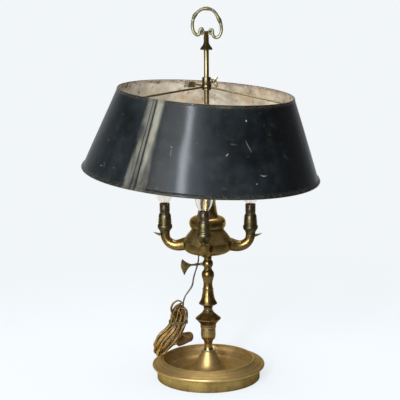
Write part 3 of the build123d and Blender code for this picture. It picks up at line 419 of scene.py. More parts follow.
def routeLine(name, points, resolution=6):
    curve = bpy.data.curves.new(name, "CURVE")
    curve.dimensions = "3D"
    curve.resolution_u = resolution
    spline = curve.splines.new("NURBS")
    spline.points.add(len(points) - 1)
    for knot, point in zip(spline.points, points):
        knot.co = (*point, 1.0)
    spline.order_u = 3
    spline.use_endpoint_u = True
    holder = linked(bpy.data.objects.new(name, curve))
    bpy.context.view_layer.update()
    mesh = bpy.data.meshes.new_from_object(holder.evaluated_get(bpy.context.evaluated_depsgraph_get()))
    line = [v.co.copy() for v in mesh.vertices]
    bpy.data.meshes.remove(mesh)
    bpy.data.objects.remove(holder)
    bpy.data.curves.remove(curve)
    return line


def sweepAlong(name, line, section, side, twist=None, grow=None):
    count, last = len(section), len(line) - 1
    ways = [(line[min(i + 1, last)] - line[max(i - 1, 0)]).normalized() for i in range(len(line))]
    dones = distances(line)
    across = (side - ways[0] * side.dot(ways[0])).normalized()
    points = []
    for i, (spot, way, done) in enumerate(zip(line, ways, dones)):
        if i:
            across = ways[i - 1].rotation_difference(way) @ across
            across = (across - way * across.dot(way)).normalized()
        angle = twist(done) if twist else 0.0
        up = way.cross(across)
        right = across * cos(angle) + up * sin(angle)
        rise = up * cos(angle) - across * sin(angle)
        size = grow(done) if grow else 1.0
        points += [spot + right * x * size + rise * y * size for x, y in section]
    faces = []
    for start in range(0, last * count, count):
        for k in range(count):
            a, b = start + k, start + (k + 1) % count
            faces.append((a, b, b + count, a + count))
    faces.append(tuple(reversed(range(count))))
    faces.append(tuple(range(last * count, (last + 1) * count)))
    piece = meshPiece(name, points, faces)
    layer = piece.data.uv_layers.new(name="along")
    for face in piece.data.polygons[:-2]:
        i, k = divmod(face.index, count)
        corners = ((k, i), (k + 1, i), (k + 1, i + 1), (k, i + 1))
        for corner, (u, v) in zip(face.loop_indices, corners):
            layer.data[corner].uv = (u / count, dones[v])
    return piece


leadLine = routeLine("leadRoute", leadPoints)
print("lead:", len(leadPoints), "points,", round(distances(leadLine)[-1], 3), "m")

core = lead["core"]
offset = lead["width"] / 2 - core
twinSection = []
for sign in (1, -1):
    for angle in (radians(a) for a in (-115, -75, -38, 0, 38, 75, 115)):
        twinSection.append((sign * (offset + core * cos(angle)), sign * core * sin(angle)))
    twinSection.append((0.0, sign * core * lead["waist"]))


def leadTwist(done):
    atHead = max(0.0, min(1.0, (lead["freeLength"] - done) / lead["freeOver"]))
    waves = sum(far * sin(done * step + start) for far, step, start in lead["twists"])
    return waves + lead["startTwist"] * atHead


leadCord = sweepAlong("leadCord", leadLine, twinSection, Vector((1, 0.35, 0)), twist=leadTwist)

# stage

stage = {
    "background": (0.888, 0.922, 0.947, 1),
    "room": 0.035,  # how bright the room in front of the lamp is against the background
    "lamps": {  # place, target, width, height, power, tint
        "keyStrip": ((-0.49, -1.71, 0.86), (0, 0, 0.42), 0.20, 1.5, 52, (0.86, 0.93, 1)),
        "leftBox": ((-1.25, -1.6, 0.76), (0, 0, 0.3), 0.8, 1.45, 16, (1, 0.98, 0.94)),
        "topBox": ((0.1, 0.5, 1.9), (0, 0, 0.35), 1.0, 1.0, 17, (1, 0.99, 0.97)),
    },
    "worldTint": (0.86, 0.93, 1, 1),
    "worldStrength": 0.46,
    "wallFade": (0.55, 1.10),  # where the room goes over into the background
    "floorFade": (-0.20, 0.90),
}


def addNode(tree, kind, values=None, **settings):
    node = tree.nodes.new(kind)
    for key, value in settings.items():
        setattr(node, key, value)
    for key, value in (values or {}).items():
        if isinstance(value, bpy.types.NodeSocket):
            tree.links.new(value, node.inputs[key])
        else:
            node.inputs[key].default_value = value
    return node


def nodeAfter(kind, values, **settings):
    tree = next(value.id_data for value in values.values() if isinstance(value, bpy.types.NodeSocket))
    return addNode(tree, kind, values, **settings).outputs


def mathNode(operation, first, second=0.5, third=0.0):
    return nodeAfter("ShaderNodeMath", {0: first, 1: second, 2: third}, operation=operation)[0]


def folding(operation):
    return lambda first, *others: reduce(partial(mathNode, operation), others, first)


times, plus, minus = folding("MULTIPLY"), folding("ADD"), folding("SUBTRACT")
larger, smaller = folding("MAXIMUM"), folding("MINIMUM")
timesPlus = partial(mathNode, "MULTIPLY_ADD")


def ramp(value, low, high, toLow=0.0, toHigh=1.0, **settings):
    span = {"Value": value, "From Min": low, "From Max": high, "To Min": toLow, "To Max": toHigh}
    return nodeAfter("ShaderNodeMapRange", span, **settings)["Result"]


def blend(factor, first, second):
    return nodeAfter("ShaderNodeMix", {0: factor, 6: first, 7: second}, data_type="RGBA")[2]


def axes(vector):
    return nodeAfter("ShaderNodeSeparateXYZ", {0: vector})


def vectorOf(x, y):
    return nodeAfter("ShaderNodeCombineXYZ", {0: x, 1: y})[0]


def lengthOf(vector):
    return nodeAfter("ShaderNodeVectorMath", {0: vector}, operation="LENGTH")["Value"]


def mapped(vector, values, **settings):
    return nodeAfter("ShaderNodeMapping", {"Vector": vector} | values, **settings)[0]


def atObject(tree):
    return addNode(tree, "ShaderNodeTexCoord").outputs["Object"]


def noiseAt(place, scale, detail, roughness=0.5, **settings):
    values = {"Vector": place, "Scale": scale, "Detail": detail, "Roughness": roughness}
    return nodeAfter("ShaderNodeTexNoise", values, **settings)


def bumpOf(height, strength, distance):
    return nodeAfter("ShaderNodeBump", {"Strength": strength, "Distance": distance, "Height": height})[0]


def isRay(tree, *kinds):
    path = addNode(tree, "ShaderNodeLightPath").outputs
    return larger(*(path["Is " + kind + " Ray"] for kind in kinds))


def roomLight(way, low, high):
    direct = isRay(way[0].id_data, "Camera", "Transmission")
    slanted = timesPlus(way[0], -0.10, way[1])
    return larger(direct, ramp(slanted, low, high, stage["room"], 1.0, interpolation_type="SMOOTHSTEP"))


def emptyTree(holder):
    holder.use_nodes = True
    holder.node_tree.nodes.clear()
    return holder.node_tree


world = bpy.context.scene.world or bpy.data.worlds.new("studio")
bpy.context.scene.world = world
tree = emptyTree(world)
dim = {"Color": stage["worldTint"], "Strength": stage["worldStrength"]}
way = axes(addNode(tree, "ShaderNodeTexCoord").outputs["Generated"])
seen = {"Color": stage["background"], "Strength": roomLight(way, *stage["wallFade"])}
soft, wall = (addNode(tree, "ShaderNodeBackground", values).outputs[0] for values in (dim, seen))
stageRay = isRay(tree, "Camera", "Glossy", "Transmission")
mixed = nodeAfter("ShaderNodeMixShader", {0: stageRay, 1: soft, 2: wall})[0]
addNode(tree, "ShaderNodeOutputWorld", {"Surface": mixed})

clearSelection()
bpy.ops.mesh.primitive_plane_add(size=14, location=(0, 0, -0.0004))
floor = bpy.context.object
floor.name = "floor"
floorPaper = bpy.data.materials.new("floorPaper")
tree = emptyTree(floorPaper)
paper = addNode(tree, "ShaderNodeBsdfDiffuse", {"Color": stage["background"]}).outputs[0]
spot = atObject(tree)
way = axes(spot)
lit = {"Color": stage["background"], "Strength": roomLight(way, *stage["floorFade"])}
glow = addNode(tree, "ShaderNodeEmission", lit).outputs[0]
away = lengthOf(spot)
plain = ramp(away, 0.25, 1.1, 0.80, 1.0, interpolation_type="SMOOTHSTEP")
nearFoot = ramp(away, 0.22, 0.50, 0.45, 0.0)
litSide = ramp(way[0], -0.05, 0.30, 1.0, 0.1)
mirrored = times(isRay(tree, "Glossy"), nearFoot, litSide)
share = minus(times(isRay(tree, "Camera", "Glossy", "Transmission"), plain), mirrored)
mixed = nodeAfter("ShaderNodeMixShader", {0: share, 1: paper, 2: glow})[0]
addNode(tree, "ShaderNodeOutputMaterial", {"Surface": mixed})
floor.data.materials.append(floorPaper)
floor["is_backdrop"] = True

for name, (place, target, wide, high, power, tint) in stage["lamps"].items():
    lamp = bpy.data.lights.new(name, "AREA")
    lamp.shape = "RECTANGLE"
    lamp.size, lamp.size_y = wide, high
    lamp.energy = power
    lamp.color = tint
    holder = bpy.data.objects.new(name, lamp)
    holder.location = place
    holder.rotation_euler = (Vector(target) - Vector(place)).to_track_quat("-Z", "Y").to_euler()
    holder.visible_camera = False
    linked(holder)
bpy.context.scene.view_settings.view_transform = "Standard"
print("camera, lamps and floor placed")

# effects that several finishes share


def startGroup(name, vector=True, **inputs):
    tree = bpy.data.node_groups.new(name, "ShaderNodeTree")
    if vector:
        tree.interface.new_socket(name="Vector", in_out="INPUT", socket_type="NodeSocketVector")
    for label, value in inputs.items():
        socket = tree.interface.new_socket(name=label, in_out="INPUT", socket_type="NodeSocketFloat")
        socket.default_value = value
    return addNode(tree, "NodeGroupInput").outputs


def endGroup(**outputs):
    tree = outputs["Mask"].id_data
    for label in outputs:
        tree.interface.new_socket(name=label, in_out="OUTPUT", socket_type="NodeSocketFloat")
    addNode(tree, "NodeGroupOutput", outputs)
    return tree


def useGroup(group, place, **values):
    return nodeAfter("ShaderNodeGroup", {"Vector": place} | values, node_tree=group)


def maskOf(group, place, **values):
    return useGroup(group, place, **values)["Mask"]


def patchyMask(given, amount, least):
    patchy = noiseAt(given["Vector"], given["Scale"], 4.0)[0]
    return smaller(times(amount, given["Gain"], ramp(patchy, 0.25, 0.70, least, 1.0)), 1.0)


given = startGroup("blotches", Scale=30.0, Level=0.5, Softness=0.15)
coarse = noiseAt(given["Vector"], given["Scale"], 4.0, 0.55)[0]
fine = noiseAt(given["Vector"], times(given["Scale"], 7.0), 3.0)[0]
both = timesPlus(fine, 0.25, times(coarse, 0.75))
low, high = minus(given["Level"], given["Softness"]), plus(given["Level"], given["Softness"])
blotches = endGroup(Mask=ramp(both, low, high), Fine=fine)

given = startGroup("edgeRub", Radius=0.001, Gain=6.0, Scale=160.0)
rounded = nodeAfter("ShaderNodeBevel", {"Radius": given["Radius"]}, samples=6)[0]
normal = addNode(rounded.id_data, "ShaderNodeNewGeometry").outputs["Normal"]
turned = nodeAfter("ShaderNodeVectorMath", {0: rounded, 1: normal}, operation="DOT_PRODUCT")["Value"]
edgeRub = endGroup(Mask=patchyMask(given, minus(1.0, turned), 0.2))

# grime and painted shade: ambient occlusion darkens hollows, gaps between parts and places under overhangs
given = startGroup("creviceGrimeAndShade", Distance=0.006, Gain=1.6, Scale=90.0)
shut = nodeAfter("ShaderNodeAmbientOcclusion", {"Distance": given["Distance"]}, samples=6)["AO"]
creviceGrimeAndShade = endGroup(Mask=patchyMask(given, minus(1.0, shut), 0.65))

given = startGroup("latheLines", Pitch=900.0)
x, y, z = axes(given["Vector"])
ringPlace = vectorOf(lengthOf(vectorOf(x, y)), z)
grooves, rings = (
    noiseAt(ringPlace, pitch, 2.0, noise_dimensions="2D")[0]
    for pitch in (given["Pitch"], times(given["Pitch"], 0.16))
)
latheLines = endGroup(Height=grooves, Mask=rings)

given = startGroup("scratches", Scale=40.0, Level=0.7)
masks = []
for turn, stretch in (
    ((0.3, 0.2, 0.5), (1, 22, 14)),
    ((1.2, 0.4, -0.9), (17, 1, 25)),
    ((0.1, 1.3, 0.7), (20, 14, 1)),
):
    laid = mapped(given["Vector"], {"Rotation": turn, "Scale": stretch})
    streak = noiseAt(laid, given["Scale"], 1.0)[0]
    masks.append(ramp(streak, given["Level"], plus(given["Level"], 0.05)))
scratches = endGroup(Mask=larger(*masks))

given = startGroup("specks", Scale=60.0, Size=0.12, Share=0.3)
bent = noiseAt(given["Vector"], times(given["Scale"], 2.2), 3.0)["Color"]
bentBy = {0: bent, 1: (0.012, 0.012, 0.012), 2: given["Vector"]}
shifted = nodeAfter("ShaderNodeVectorMath", bentBy, operation="MULTIPLY_ADD")[0]
cells = nodeAfter("ShaderNodeTexVoronoi", {"Vector": shifted, "Scale": given["Scale"]})
chance = nodeAfter("ShaderNodeSeparateColor", {0: cells["Color"]})
kept = mathNode("LESS_THAN", chance[0], given["Share"])
sized = times(given["Size"], ramp(chance[1], 0.0, 1.0, 0.35, 1.0))
specks = endGroup(Mask=times(ramp(cells["Distance"], sized, times(sized, 0.6)), kept))

scuffPlace = {"Azimuth": 0.0, "Height": 0.0, "Place": 0.0, "Level": 0.0, "Turn": 0.0}
given = startGroup("scuff", False, **scuffPlace, Length=0.01, Width=0.001, Bow=0.0, Soft=0.5)
across = times(minus(given["Azimuth"], given["Place"]), 0.165)  # the shade's radius halfway up
upwards = minus(given["Height"], given["Level"])
cosTurn, sinTurn = mathNode("COSINE", given["Turn"]), mathNode("SINE", given["Turn"])
run = timesPlus(across, cosTurn, times(upwards, sinTurn))
aside = minus(times(upwards, cosTurn), times(across, sinTurn))
aside = timesPlus(times(run, run), times(given["Bow"], -1.0), aside)
halfRun, full = times(given["Length"], 0.5), minus(1.0, given["Soft"])
alongMark = ramp(mathNode("ABSOLUTE", run), halfRun, times(halfRun, full))
acrossMark = ramp(mathNode("ABSOLUTE", aside), given["Width"], times(given["Width"], full))
scuff = endGroup(Mask=times(alongMark, acrossMark))


def scuffMasks(azimuth, height, marks, soft):
    masks = []
    for place, level, turn, length, width, bow, strength in marks:
        where = {"Azimuth": azimuth, "Height": height, "Place": radians(place), "Level": level / 1000}
        size = {"Turn": radians(turn), "Length": length / 1000, "Width": width / 1000}
        values = where | size | {"Bow": bow, "Soft": soft}
        masks.append(times(nodeAfter("ShaderNodeGroup", values, node_tree=scuff)[0], strength))
    return larger(*masks)


def startMaterial(name, **plain):
    material = bpy.data.materials.new(name)
    material.use_nodes = True
    shader = material.node_tree.nodes["Principled BSDF"]
    for key, value in plain.items():
        shader.inputs[key.replace("_", " ")].default_value = value
    return shader, material.node_tree


def connect(shader, **sockets):
    for key, socket in sockets.items():
        shader.id_data.links.new(socket, shader.inputs[key.replace("_", " ")])


def brassFinish(name, look):
    shader, tree = startMaterial(name, Specular_Tint=(0.72, 0.58, 0.36, 1))
    place, scale = atObject(tree), look["blotchScale"]
    film = useGroup(blotches, place, Scale=scale, Level=look["level"], Softness=look["softness"])
    small = maskOf(blotches, place, Scale=scale * 4, Level=0.56, Softness=0.14)
    rub = maskOf(edgeRub, place, Radius=look["rubRadius"], Gain=look["rubGain"], Scale=220.0)
    # grime in hollows, and painted shade where parts overhang
    grimeAndShade = maskOf(creviceGrimeAndShade, place, Distance=look["grimeAndShadeDepth"], Gain=look["grimeAndShadeGain"], Scale=110.0)
    lines = maskOf(scratches, place, Scale=26.0, Level=0.685)
    tone = blend(film["Mask"], look["middle"], look["dark"])
    tone = blend(times(small, look["spots"]), tone, look["spot"])
    height = timesPlus(film["Fine"], 0.10, times(noiseAt(place, 1400.0, 2.0)[0], 0.08))
    if look["pitch"]:
        lathe = useGroup(latheLines, place, Pitch=look["pitch"])
        tone = blend(times(ramp(lathe["Mask"], 0.42, 0.66), look["ringTone"]), tone, look["bright"])
        height = timesPlus(lathe["Height"], look["ringDepth"], height)
    tone = blend(rub, tone, look["bright"])
    tone = blend(times(lines, 0.35), tone, look["bright"])
    # grime and painted shade: the darkened places take the dark crevice colour
    tone = blend(grimeAndShade, tone, look["grimeAndShade"])
    matte = larger(times(film["Mask"], 0.55), grimeAndShade)
    rough = timesPlus(matte, look["roughSpan"], look["rough"])
    rough = timesPlus(film["Fine"], 0.04, minus(rough, 0.02))
    rough = minus(rough, times(rub, 0.08))
    metal = minus(1.0, times(matte, look["dull"]))
    normal = bumpOf(minus(height, times(lines, 0.3)), look["bump"], 0.0001)
    connect(shader, Base_Color=tone, Roughness=rough, Metallic=metal, Normal=normal)


agedLook = {
    "dark": (0.165, 0.092, 0.028, 1),
    "middle": (0.39, 0.262, 0.088, 1),
    "bright": (0.80, 0.64, 0.34, 1),
    "spot": (0.17, 0.105, 0.042, 1),
    "spots": 0.14,
    "grimeAndShade": (0.050, 0.028, 0.011, 1),
    "blotchScale": 20.0,
    "level": 0.56,
    "softness": 0.15,
    "rubRadius": 0.0011,
    "rubGain": 4.0,
    "grimeAndShadeDepth": 0.006,
    "grimeAndShadeGain": 1.3,
    "pitch": 1300.0,
    "ringTone": 0.08,
    "ringDepth": 0.12,
    "rough": 0.27,
    "roughSpan": 0.08,
    "dull": 0.15,
    "bump": 0.20,
}
brassLooks = {  # what differs from agedLook
    "agedBrass": {},
    "darkBrass": dict(
        dark=(0.090, 0.048, 0.015, 1), middle=(0.29, 0.185, 0.063, 1), bright=(0.70, 0.56, 0.30, 1),
        level=0.53,
    ),
    "rodBrass": dict(
        middle=(0.31, 0.255, 0.135, 1), dark=(0.120, 0.090, 0.042, 1), blotchScale=34.0, pitch=0,
        rough=0.37, roughSpan=0.03, rubGain=0.5, bump=0.05,
    ),
    "castBrass": dict(
        middle=(0.29, 0.196, 0.066, 1), dark=(0.12, 0.068, 0.021, 1), pitch=0, blotchScale=26.0, spots=0.05,
        rough=0.31, grimeAndShadeGain=0.25, rubGain=1.0, bump=0.1,
    ),
    "greenBrass": dict(
        dark=(0.085, 0.078, 0.036, 1), middle=(0.36, 0.325, 0.175, 1), bright=(0.72, 0.67, 0.43, 1),
        grimeAndShade=(0.030, 0.028, 0.014, 1), pitch=0, blotchScale=90.0, level=0.52, rough=0.31, bump=0.25,
    ),
    "coneBrass": dict(
        middle=(0.30, 0.215, 0.092, 1), dark=(0.15, 0.098, 0.040, 1), rough=0.32, dull=0.3,
        blotchScale=16.0, grimeAndShadeGain=0.7, rubGain=1.5,
    ),
    "floorBrass": dict(
        middle=(0.62, 0.42, 0.155, 1), dark=(0.33, 0.195, 0.066, 1), level=0.50, rough=0.45, dull=0.45,
        grimeAndShadeGain=0.5, ringTone=0.2, blotchScale=14.0,
    ),
    # painted shade: the deep, strong crevice darkening paints the shadow under the dish's lip onto the top of
    # the skirt
    "footBrass": dict(
        middle=(0.78, 0.53, 0.155, 1), dark=(0.35, 0.195, 0.045, 1), rough=0.26, grimeAndShadeDepth=0.020,
        grimeAndShadeGain=1.7,
    ),
    # painted highlight: this pale brass stands in for the bright reflection on the column's ring
    "highlightPaleBrass": dict(middle=(0.74, 0.66, 0.47, 1), dark=(0.48, 0.40, 0.25, 1), rough=0.33, grimeAndShadeGain=0.4),
    "bowlBrass": dict(
        middle=(0.27, 0.180, 0.061, 1), dark=(0.12, 0.068, 0.021, 1), pitch=0, spots=0.05, rough=0.31,
        grimeAndShadeGain=0.25, rubGain=1.5,
    ),
    "armBrass": dict(
        middle=(0.20, 0.165, 0.090, 1), dark=(0.075, 0.055, 0.030, 1), bright=(0.50, 0.42, 0.25, 1),
        pitch=0, rough=0.30,
    ),
    "huskGreen": dict(
        dark=(0.060, 0.048, 0.024, 1), middle=(0.140, 0.112, 0.056, 1), bright=(0.38, 0.33, 0.20, 1),
        blotchScale=55.0, pitch=0, rough=0.38, bump=0.15,
    ),
}
for name, changes in brassLooks.items():
    brassFinish(name, agedLook | changes)
print("brass mixed")


def plainFinish(name, dark, light, scale, rough, metallic=0.0, bump=0.2, rub=None, specular=0.5):
    shader, tree = startMaterial(name, Metallic=metallic, Specular_IOR_Level=specular)
    place = atObject(tree)
    film = useGroup(blotches, place, Scale=scale, Level=0.5, Softness=0.16)
    tone = blend(film["Mask"], dark, light)
    if rub:
        tone = blend(maskOf(edgeRub, place, Radius=0.0009, Gain=5.0, Scale=200.0), tone, rub)
    rough = timesPlus(film["Fine"], 0.2, rough - 0.1)
    connect(shader, Base_Color=tone, Roughness=rough, Normal=bumpOf(film["Fine"], bump, 0.0004))


plainLooks = {
    "holderBrown": dict(
        dark=(0.034, 0.020, 0.009, 1), light=(0.100, 0.070, 0.036, 1), scale=90.0, rough=0.36, metallic=0.7,
        rub=(0.22, 0.17, 0.09, 1),
    ),
    "capBrass": dict(
        dark=(0.22, 0.19, 0.13, 1), light=(0.50, 0.44, 0.31, 1), scale=120.0, rough=0.38, metallic=0.85,
    ),
    "castIron": dict(
        dark=(0.010, 0.009, 0.008, 1), light=(0.035, 0.028, 0.022, 1), scale=60.0, rough=0.7, metallic=0.4,
        bump=0.6,
    ),
    "zincSteel": dict(
        dark=(0.28, 0.28, 0.28, 1), light=(0.46, 0.46, 0.45, 1), scale=90.0, rough=0.35, metallic=1.0,
    ),
    "footFelt": dict(
        dark=(0.006, 0.016, 0.008, 1), light=(0.014, 0.032, 0.016, 1), scale=500.0, rough=0.95, bump=0.8,
    ),
    "plugBrown": dict(
        dark=(0.055, 0.026, 0.007, 1), light=(0.185, 0.098, 0.030, 1), scale=60.0, rough=0.6,
        rub=(0.30, 0.19, 0.08, 1), specular=0.2,
    ),
    "tieTape": dict(
        dark=(0.045, 0.034, 0.008, 1), light=(0.115, 0.088, 0.022, 1), scale=260.0, rough=0.7, bump=0.3,
        specular=0.2,
    ),
    "bladeBrass": dict(
        dark=(0.28, 0.21, 0.10, 1), light=(0.58, 0.46, 0.24, 1), scale=80.0, rough=0.3, metallic=1.0,
    ),
}
for name, look in plainLooks.items():
    plainFinish(name, **look)

# finish of the lead

shader, tree = startMaterial("leadCover", Coat_Weight=0.12, Coat_Roughness=0.25, Specular_IOR_Level=0.4)
girth, along, _ = axes(addNode(tree, "ShaderNodeUVMap", uv_map="along").outputs[0])
place = atObject(tree)
streaks = noiseAt(vectorOf(girth, times(along, 60.0)), 1.6, 4.0, noise_dimensions="2D")[0]
mottle = useGroup(blotches, place, Scale=55.0, Level=0.5, Softness=0.14)
# grime and painted shade: the gaps between the hank's strands are darkened
grimeAndShade = maskOf(creviceGrimeAndShade, place, Distance=0.008, Gain=1.15, Scale=140.0)
rub = maskOf(edgeRub, place, Radius=0.0006, Gain=2.2, Scale=150.0)
tone = blend(ramp(streaks, 0.36, 0.64), (0.125, 0.058, 0.008, 1), (0.33, 0.185, 0.032, 1))
tone = blend(times(mottle["Mask"], 0.55), tone, (0.110, 0.050, 0.008, 1))
# the cord's rounded edges are lightened: rub wear, and partly a painted highlight
tone = blend(times(rub, 0.5), tone, (0.50, 0.34, 0.11, 1))
topEnd = ramp(axes(place)[2], 0.082, 0.104, 0.0, 0.65)
tone = blend(topEnd, tone, (0.085, 0.045, 0.010, 1))
dusty = ramp(along, 0.110, 0.075)  # the stretch that hangs free is greyer
olive = blend(ramp(streaks, 0.40, 0.60), (0.035, 0.031, 0.017, 1), (0.115, 0.102, 0.062, 1))
tone = blend(dusty, tone, olive)
# grime and painted shade darken the gaps between strands
tone = blend(grimeAndShade, tone, (0.034, 0.014, 0.003, 1))
rough = ramp(mottle["Fine"], 0.3, 0.7, 0.26, 0.42)
connect(shader, Base_Color=tone, Roughness=rough, Normal=bumpOf(mottle["Fine"], 0.2, 0.0003))

smoothByAngle(leadCord, 60)
finish(leadCord, None, "lead_cover", ["leadCover"], "cord_drop", "cord_hank", "cord_tail")
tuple(lead["drop"][-1])
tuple(lead["drop"][0])
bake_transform(leadCord)
print("lead laid")

# shade

shade = {
    "hub": (0, 0, 0.48),
    "sagRight": 4.1,  # degrees, right side low
    "sagFront": 3.3,  # degrees, front low
    "bottomRadius": 0.1884,
    "bottomHeight": -0.1416,  # from the hub, along the shade's own axis
    "topRadius": 0.1393,
    "topHeight": -0.0139,
    "wall": 0.0009,
    "columns": 240,
    "rows": 17,
    "seamAzimuth": -33.0,
    "seamAngle": 2.2,
    "seamRise": 0.0009,
    "wave": 0.0007,
    "waves": [  # share, steps round and up, start
        (1, 2.1, 1.4, (3.1, 0.4, 1.7)),
        (0.35, 6.3, 4.2, (0, 0, 0)),
    ],
    "seamFoot": 0.0030,  # how far the seam's fold stays from the lower edge
    "seamHead": 0.0022,  # and from the upper one
}
lean = (radians(shade["sagRight"]), radians(shade["sagFront"]))
shadeX = Vector((cos(lean[0]), 0, -sin(lean[0])))
shadeUp = Vector((sin(lean[0]) * cos(lean[1]), -sin(lean[1]), cos(lean[0]) * cos(lean[1])))
shadeY = shadeUp.cross(shadeX)
shadeFrame = Matrix((shadeX, shadeY, shadeUp)).transposed().to_4x4()
shadeFrame.translation = Vector(shade["hub"])


def shadeShare(height):
    return (height - shade["bottomHeight"]) / (shade["topHeight"] - shade["bottomHeight"])


def outwards(point):
    return Vector((point.x, point.y, 0)).normalized()


def facing(normal, spot):
    return normal.x * spot.x + normal.y * spot.y


def shadePanel(label, seam):
    depth = shade["topHeight"] - shade["bottomHeight"]
    radii = {"radius1": shade["bottomRadius"], "radius2": shade["topRadius"]}
    middle = (0, 0, (shade["bottomHeight"] + shade["topHeight"]) / 2)
    form = {"vertices": shade["columns"], "depth": depth, "end_fill_type": "NOTHING", "location": middle}
    piece = added("shadePanel" + label.title(), bpy.ops.mesh.primitive_cone_add, **form, **radii)
    startEdit(piece, "EDGE")
    selectWhere(piece, lambda e: abs(e.verts[0].co.z - e.verts[1].co.z) > 0.05, "edges")
    bpy.ops.mesh.subdivide(number_cuts=shade["rows"])
    for angle, drop in ((seam, True), (seam + shade["seamAngle"], False)):
        out = direction(angle)
        onAll(bpy.ops.mesh.bisect, plane_co=(0, 0, 0), plane_no=(-out.y, out.x, 0), clear_inner=drop)
    endEdit(outward=True)
    for vertex in piece.data.vertices:
        out = outwards(vertex.co)
        height = shadeShare(vertex.co.z)
        inner = 4 * height * (1 - height)
        dents = sum(
            part * noise.noise(Vector((out.x * fine, out.y * fine, height * tall)) + Vector(start))
            for part, fine, tall, start in shade["waves"]
        )
        vertex.co += out * shade["wave"] * inner * dents
    piece.data.update()
    applyModifier(piece, "SOLIDIFY", thickness=shade["wall"], offset=0)
    startEdit(piece)
    low, high = shade["bottomHeight"] + shade["seamFoot"], shade["topHeight"] - shade["seamHead"]

    def onStrip(face):
        centre = face.calc_center_median()
        turn = (degrees(atan2(centre.x, -centre.y)) - seam + 180) % 360 - 180
        return facing(face.normal, centre) > 0.02 and 0 < turn < shade["seamAngle"] and low < centre.z < high

    selectWhere(piece, onStrip)
    rise = {"value": shade["seamRise"]}
    bpy.ops.mesh.extrude_region_shrink_fatten(TRANSFORM_OT_shrink_fatten=rise)
    endEdit()
    for face in piece.data.polygons:
        face.material_index = 1 if facing(face.normal, face.center) < -0.02 else 0
    piece.data.transform(shadeFrame)
    smoothByAngle(piece, 30)
    finish(piece, "shade", "shade_paint", ["shadeBlack", "shadeCream"], "shade_panel_" + label)


def inShade(tree):
    turn = {"Location": shade["hub"], "Rotation": shadeFrame.to_euler()}
    place = mapped(atObject(tree), turn, vector_type="TEXTURE")
    x, y, height = axes(place)
    return place, mathNode("ARCTAN2", x, times(y, -1.0)), height


def smoothBand(value, band):
    centre, half, soft = (radians(v) for v in band)
    return ramp(mathNode("ABSOLUTE", minus(value, centre)), half + soft, half)


paint = {
    "black": (0.0030, 0.0036, 0.0040, 1),
    "faded": (0.019, 0.026, 0.030, 1),
    "olive": (0.200, 0.187, 0.143, 1),
    "brown": (0.075, 0.058, 0.034, 1),
    "pale": (0.30, 0.29, 0.25, 1),
    "cream": (0.60, 0.51, 0.39, 1),
    "creamDirty": (0.245, 0.172, 0.10, 1),
    "rust": (0.120, 0.045, 0.018, 1),
    "tan": (0.42, 0.25, 0.12, 1),
    "grey": (0.27, 0.25, 0.20, 1),
    "smear": (0.045, 0.028, 0.018, 1),
    # beside the seam, in degrees: middle, half width and soft edge
    "rightBand": (5.2, 1.0, 2.2),
    "leftBand": (-1.7, 1.0, 2.0),
    "seamBand": (0.0, 0.5, 0.4),
    "grooves": (1.25, 0.22, 0.16),
    # azimuth, height (mm from the hub), turn, length, width, bow, strength
    "marks": [
        (24.3, -69.7, -63, 21, 0.50, 8, 0.50),
        (12.4, -81.5, 43, 6, 0.80, 0, 0.75),
        (31.2, -111.4, -6, 12, 0.70, 40, 0.75),
        (47.8, -88.2, -37, 16, 0.35, 0, 0.28),
        (-56.6, -121.8, 4, 8, 0.60, 0, 0.45),
        (-54.6, -118.6, -60, 9, 0.50, 0, 0.40),
        (-16.0, -84.0, -86, 12, 0.45, 0, 0.38),
        (26.9, -121.7, 20, 3, 0.90, 0, 0.70),
        (-16.2, -75.9, 0, 2.4, 0.90, 0, 0.75),
    ],
    "tanStains": [
        (-166, -44, 10, 34, 9, 0, 0.85),
        (-177, -50, -8, 36, 7, 0, 0.75),
        (150, -38, 0, 26, 9, 0, 0.85),
        (137, -24, -6, 60, 8, 0, 0.60),
        (-135, -30, 70, 40, 12, 0, 0.55),
        (112, -22, 0, 50, 7, 0, 0.70),
        (158, -34, 4, 40, 6, 0, 0.60),
    ],
    "greyStainsAndLeftShade": [
        (171.0, -43, 24, 52, 4.5, 0, 0.75),
        (168.5, -35, 20, 60, 3.5, 0, 0.65),
        (163.0, -28, 88, 36, 6, 0, 0.55),
        # painted shade: these two broad grey clouds darken the inner left side
        (-120.0, -26, 3, 60, 9, 0, 0.60),
        (-130.0, -32, 2, 90, 15, 0, 0.50),
    ],
    "smearsAndArmShadow": [
        # painted shadow: the smears near -166 and -168 degrees darken the inside beside the back arm's end
        (-166.5, -19, 14, 26, 6, 0, 0.95),
        (-158.0, -17, 4, 34, 3, 0, 0.70),
        (147.0, -30, 90, 60, 0.7, 0, 0.80),
        (-108.0, -20, 0, 60, 7, 0, 0.80),
        (-141.0, -17, 3, 50, 3.0, 0, 0.85),
        (-168.0, -24, 20, 22, 5.0, 0, 0.90),
        (96.0, -22, 20, 30, 6.0, 0, 0.55),
        (154.0, -17, 20, 6, 1.8, 0, 0.90),
        (149.0, -19, 70, 5, 1.3, 0, 0.90),
        (144.0, -17, 10, 5, 1.5, 0, 0.85),
        (139.0, -19, 50, 4, 1.2, 0, 0.90),
        (134.0, -17, 0, 6, 1.6, 0, 0.85),
        (129.0, -20, 80, 5, 1.3, 0, 0.85),
        (124.0, -18, 30, 6, 1.8, 0, 0.90),
        (119.0, -20, 60, 5, 1.4, 0, 0.85),
        (113.0, -18, 10, 7, 1.7, 0, 0.85),
        (106.0, -20, 40, 6, 1.5, 0, 0.80),
    ],
}


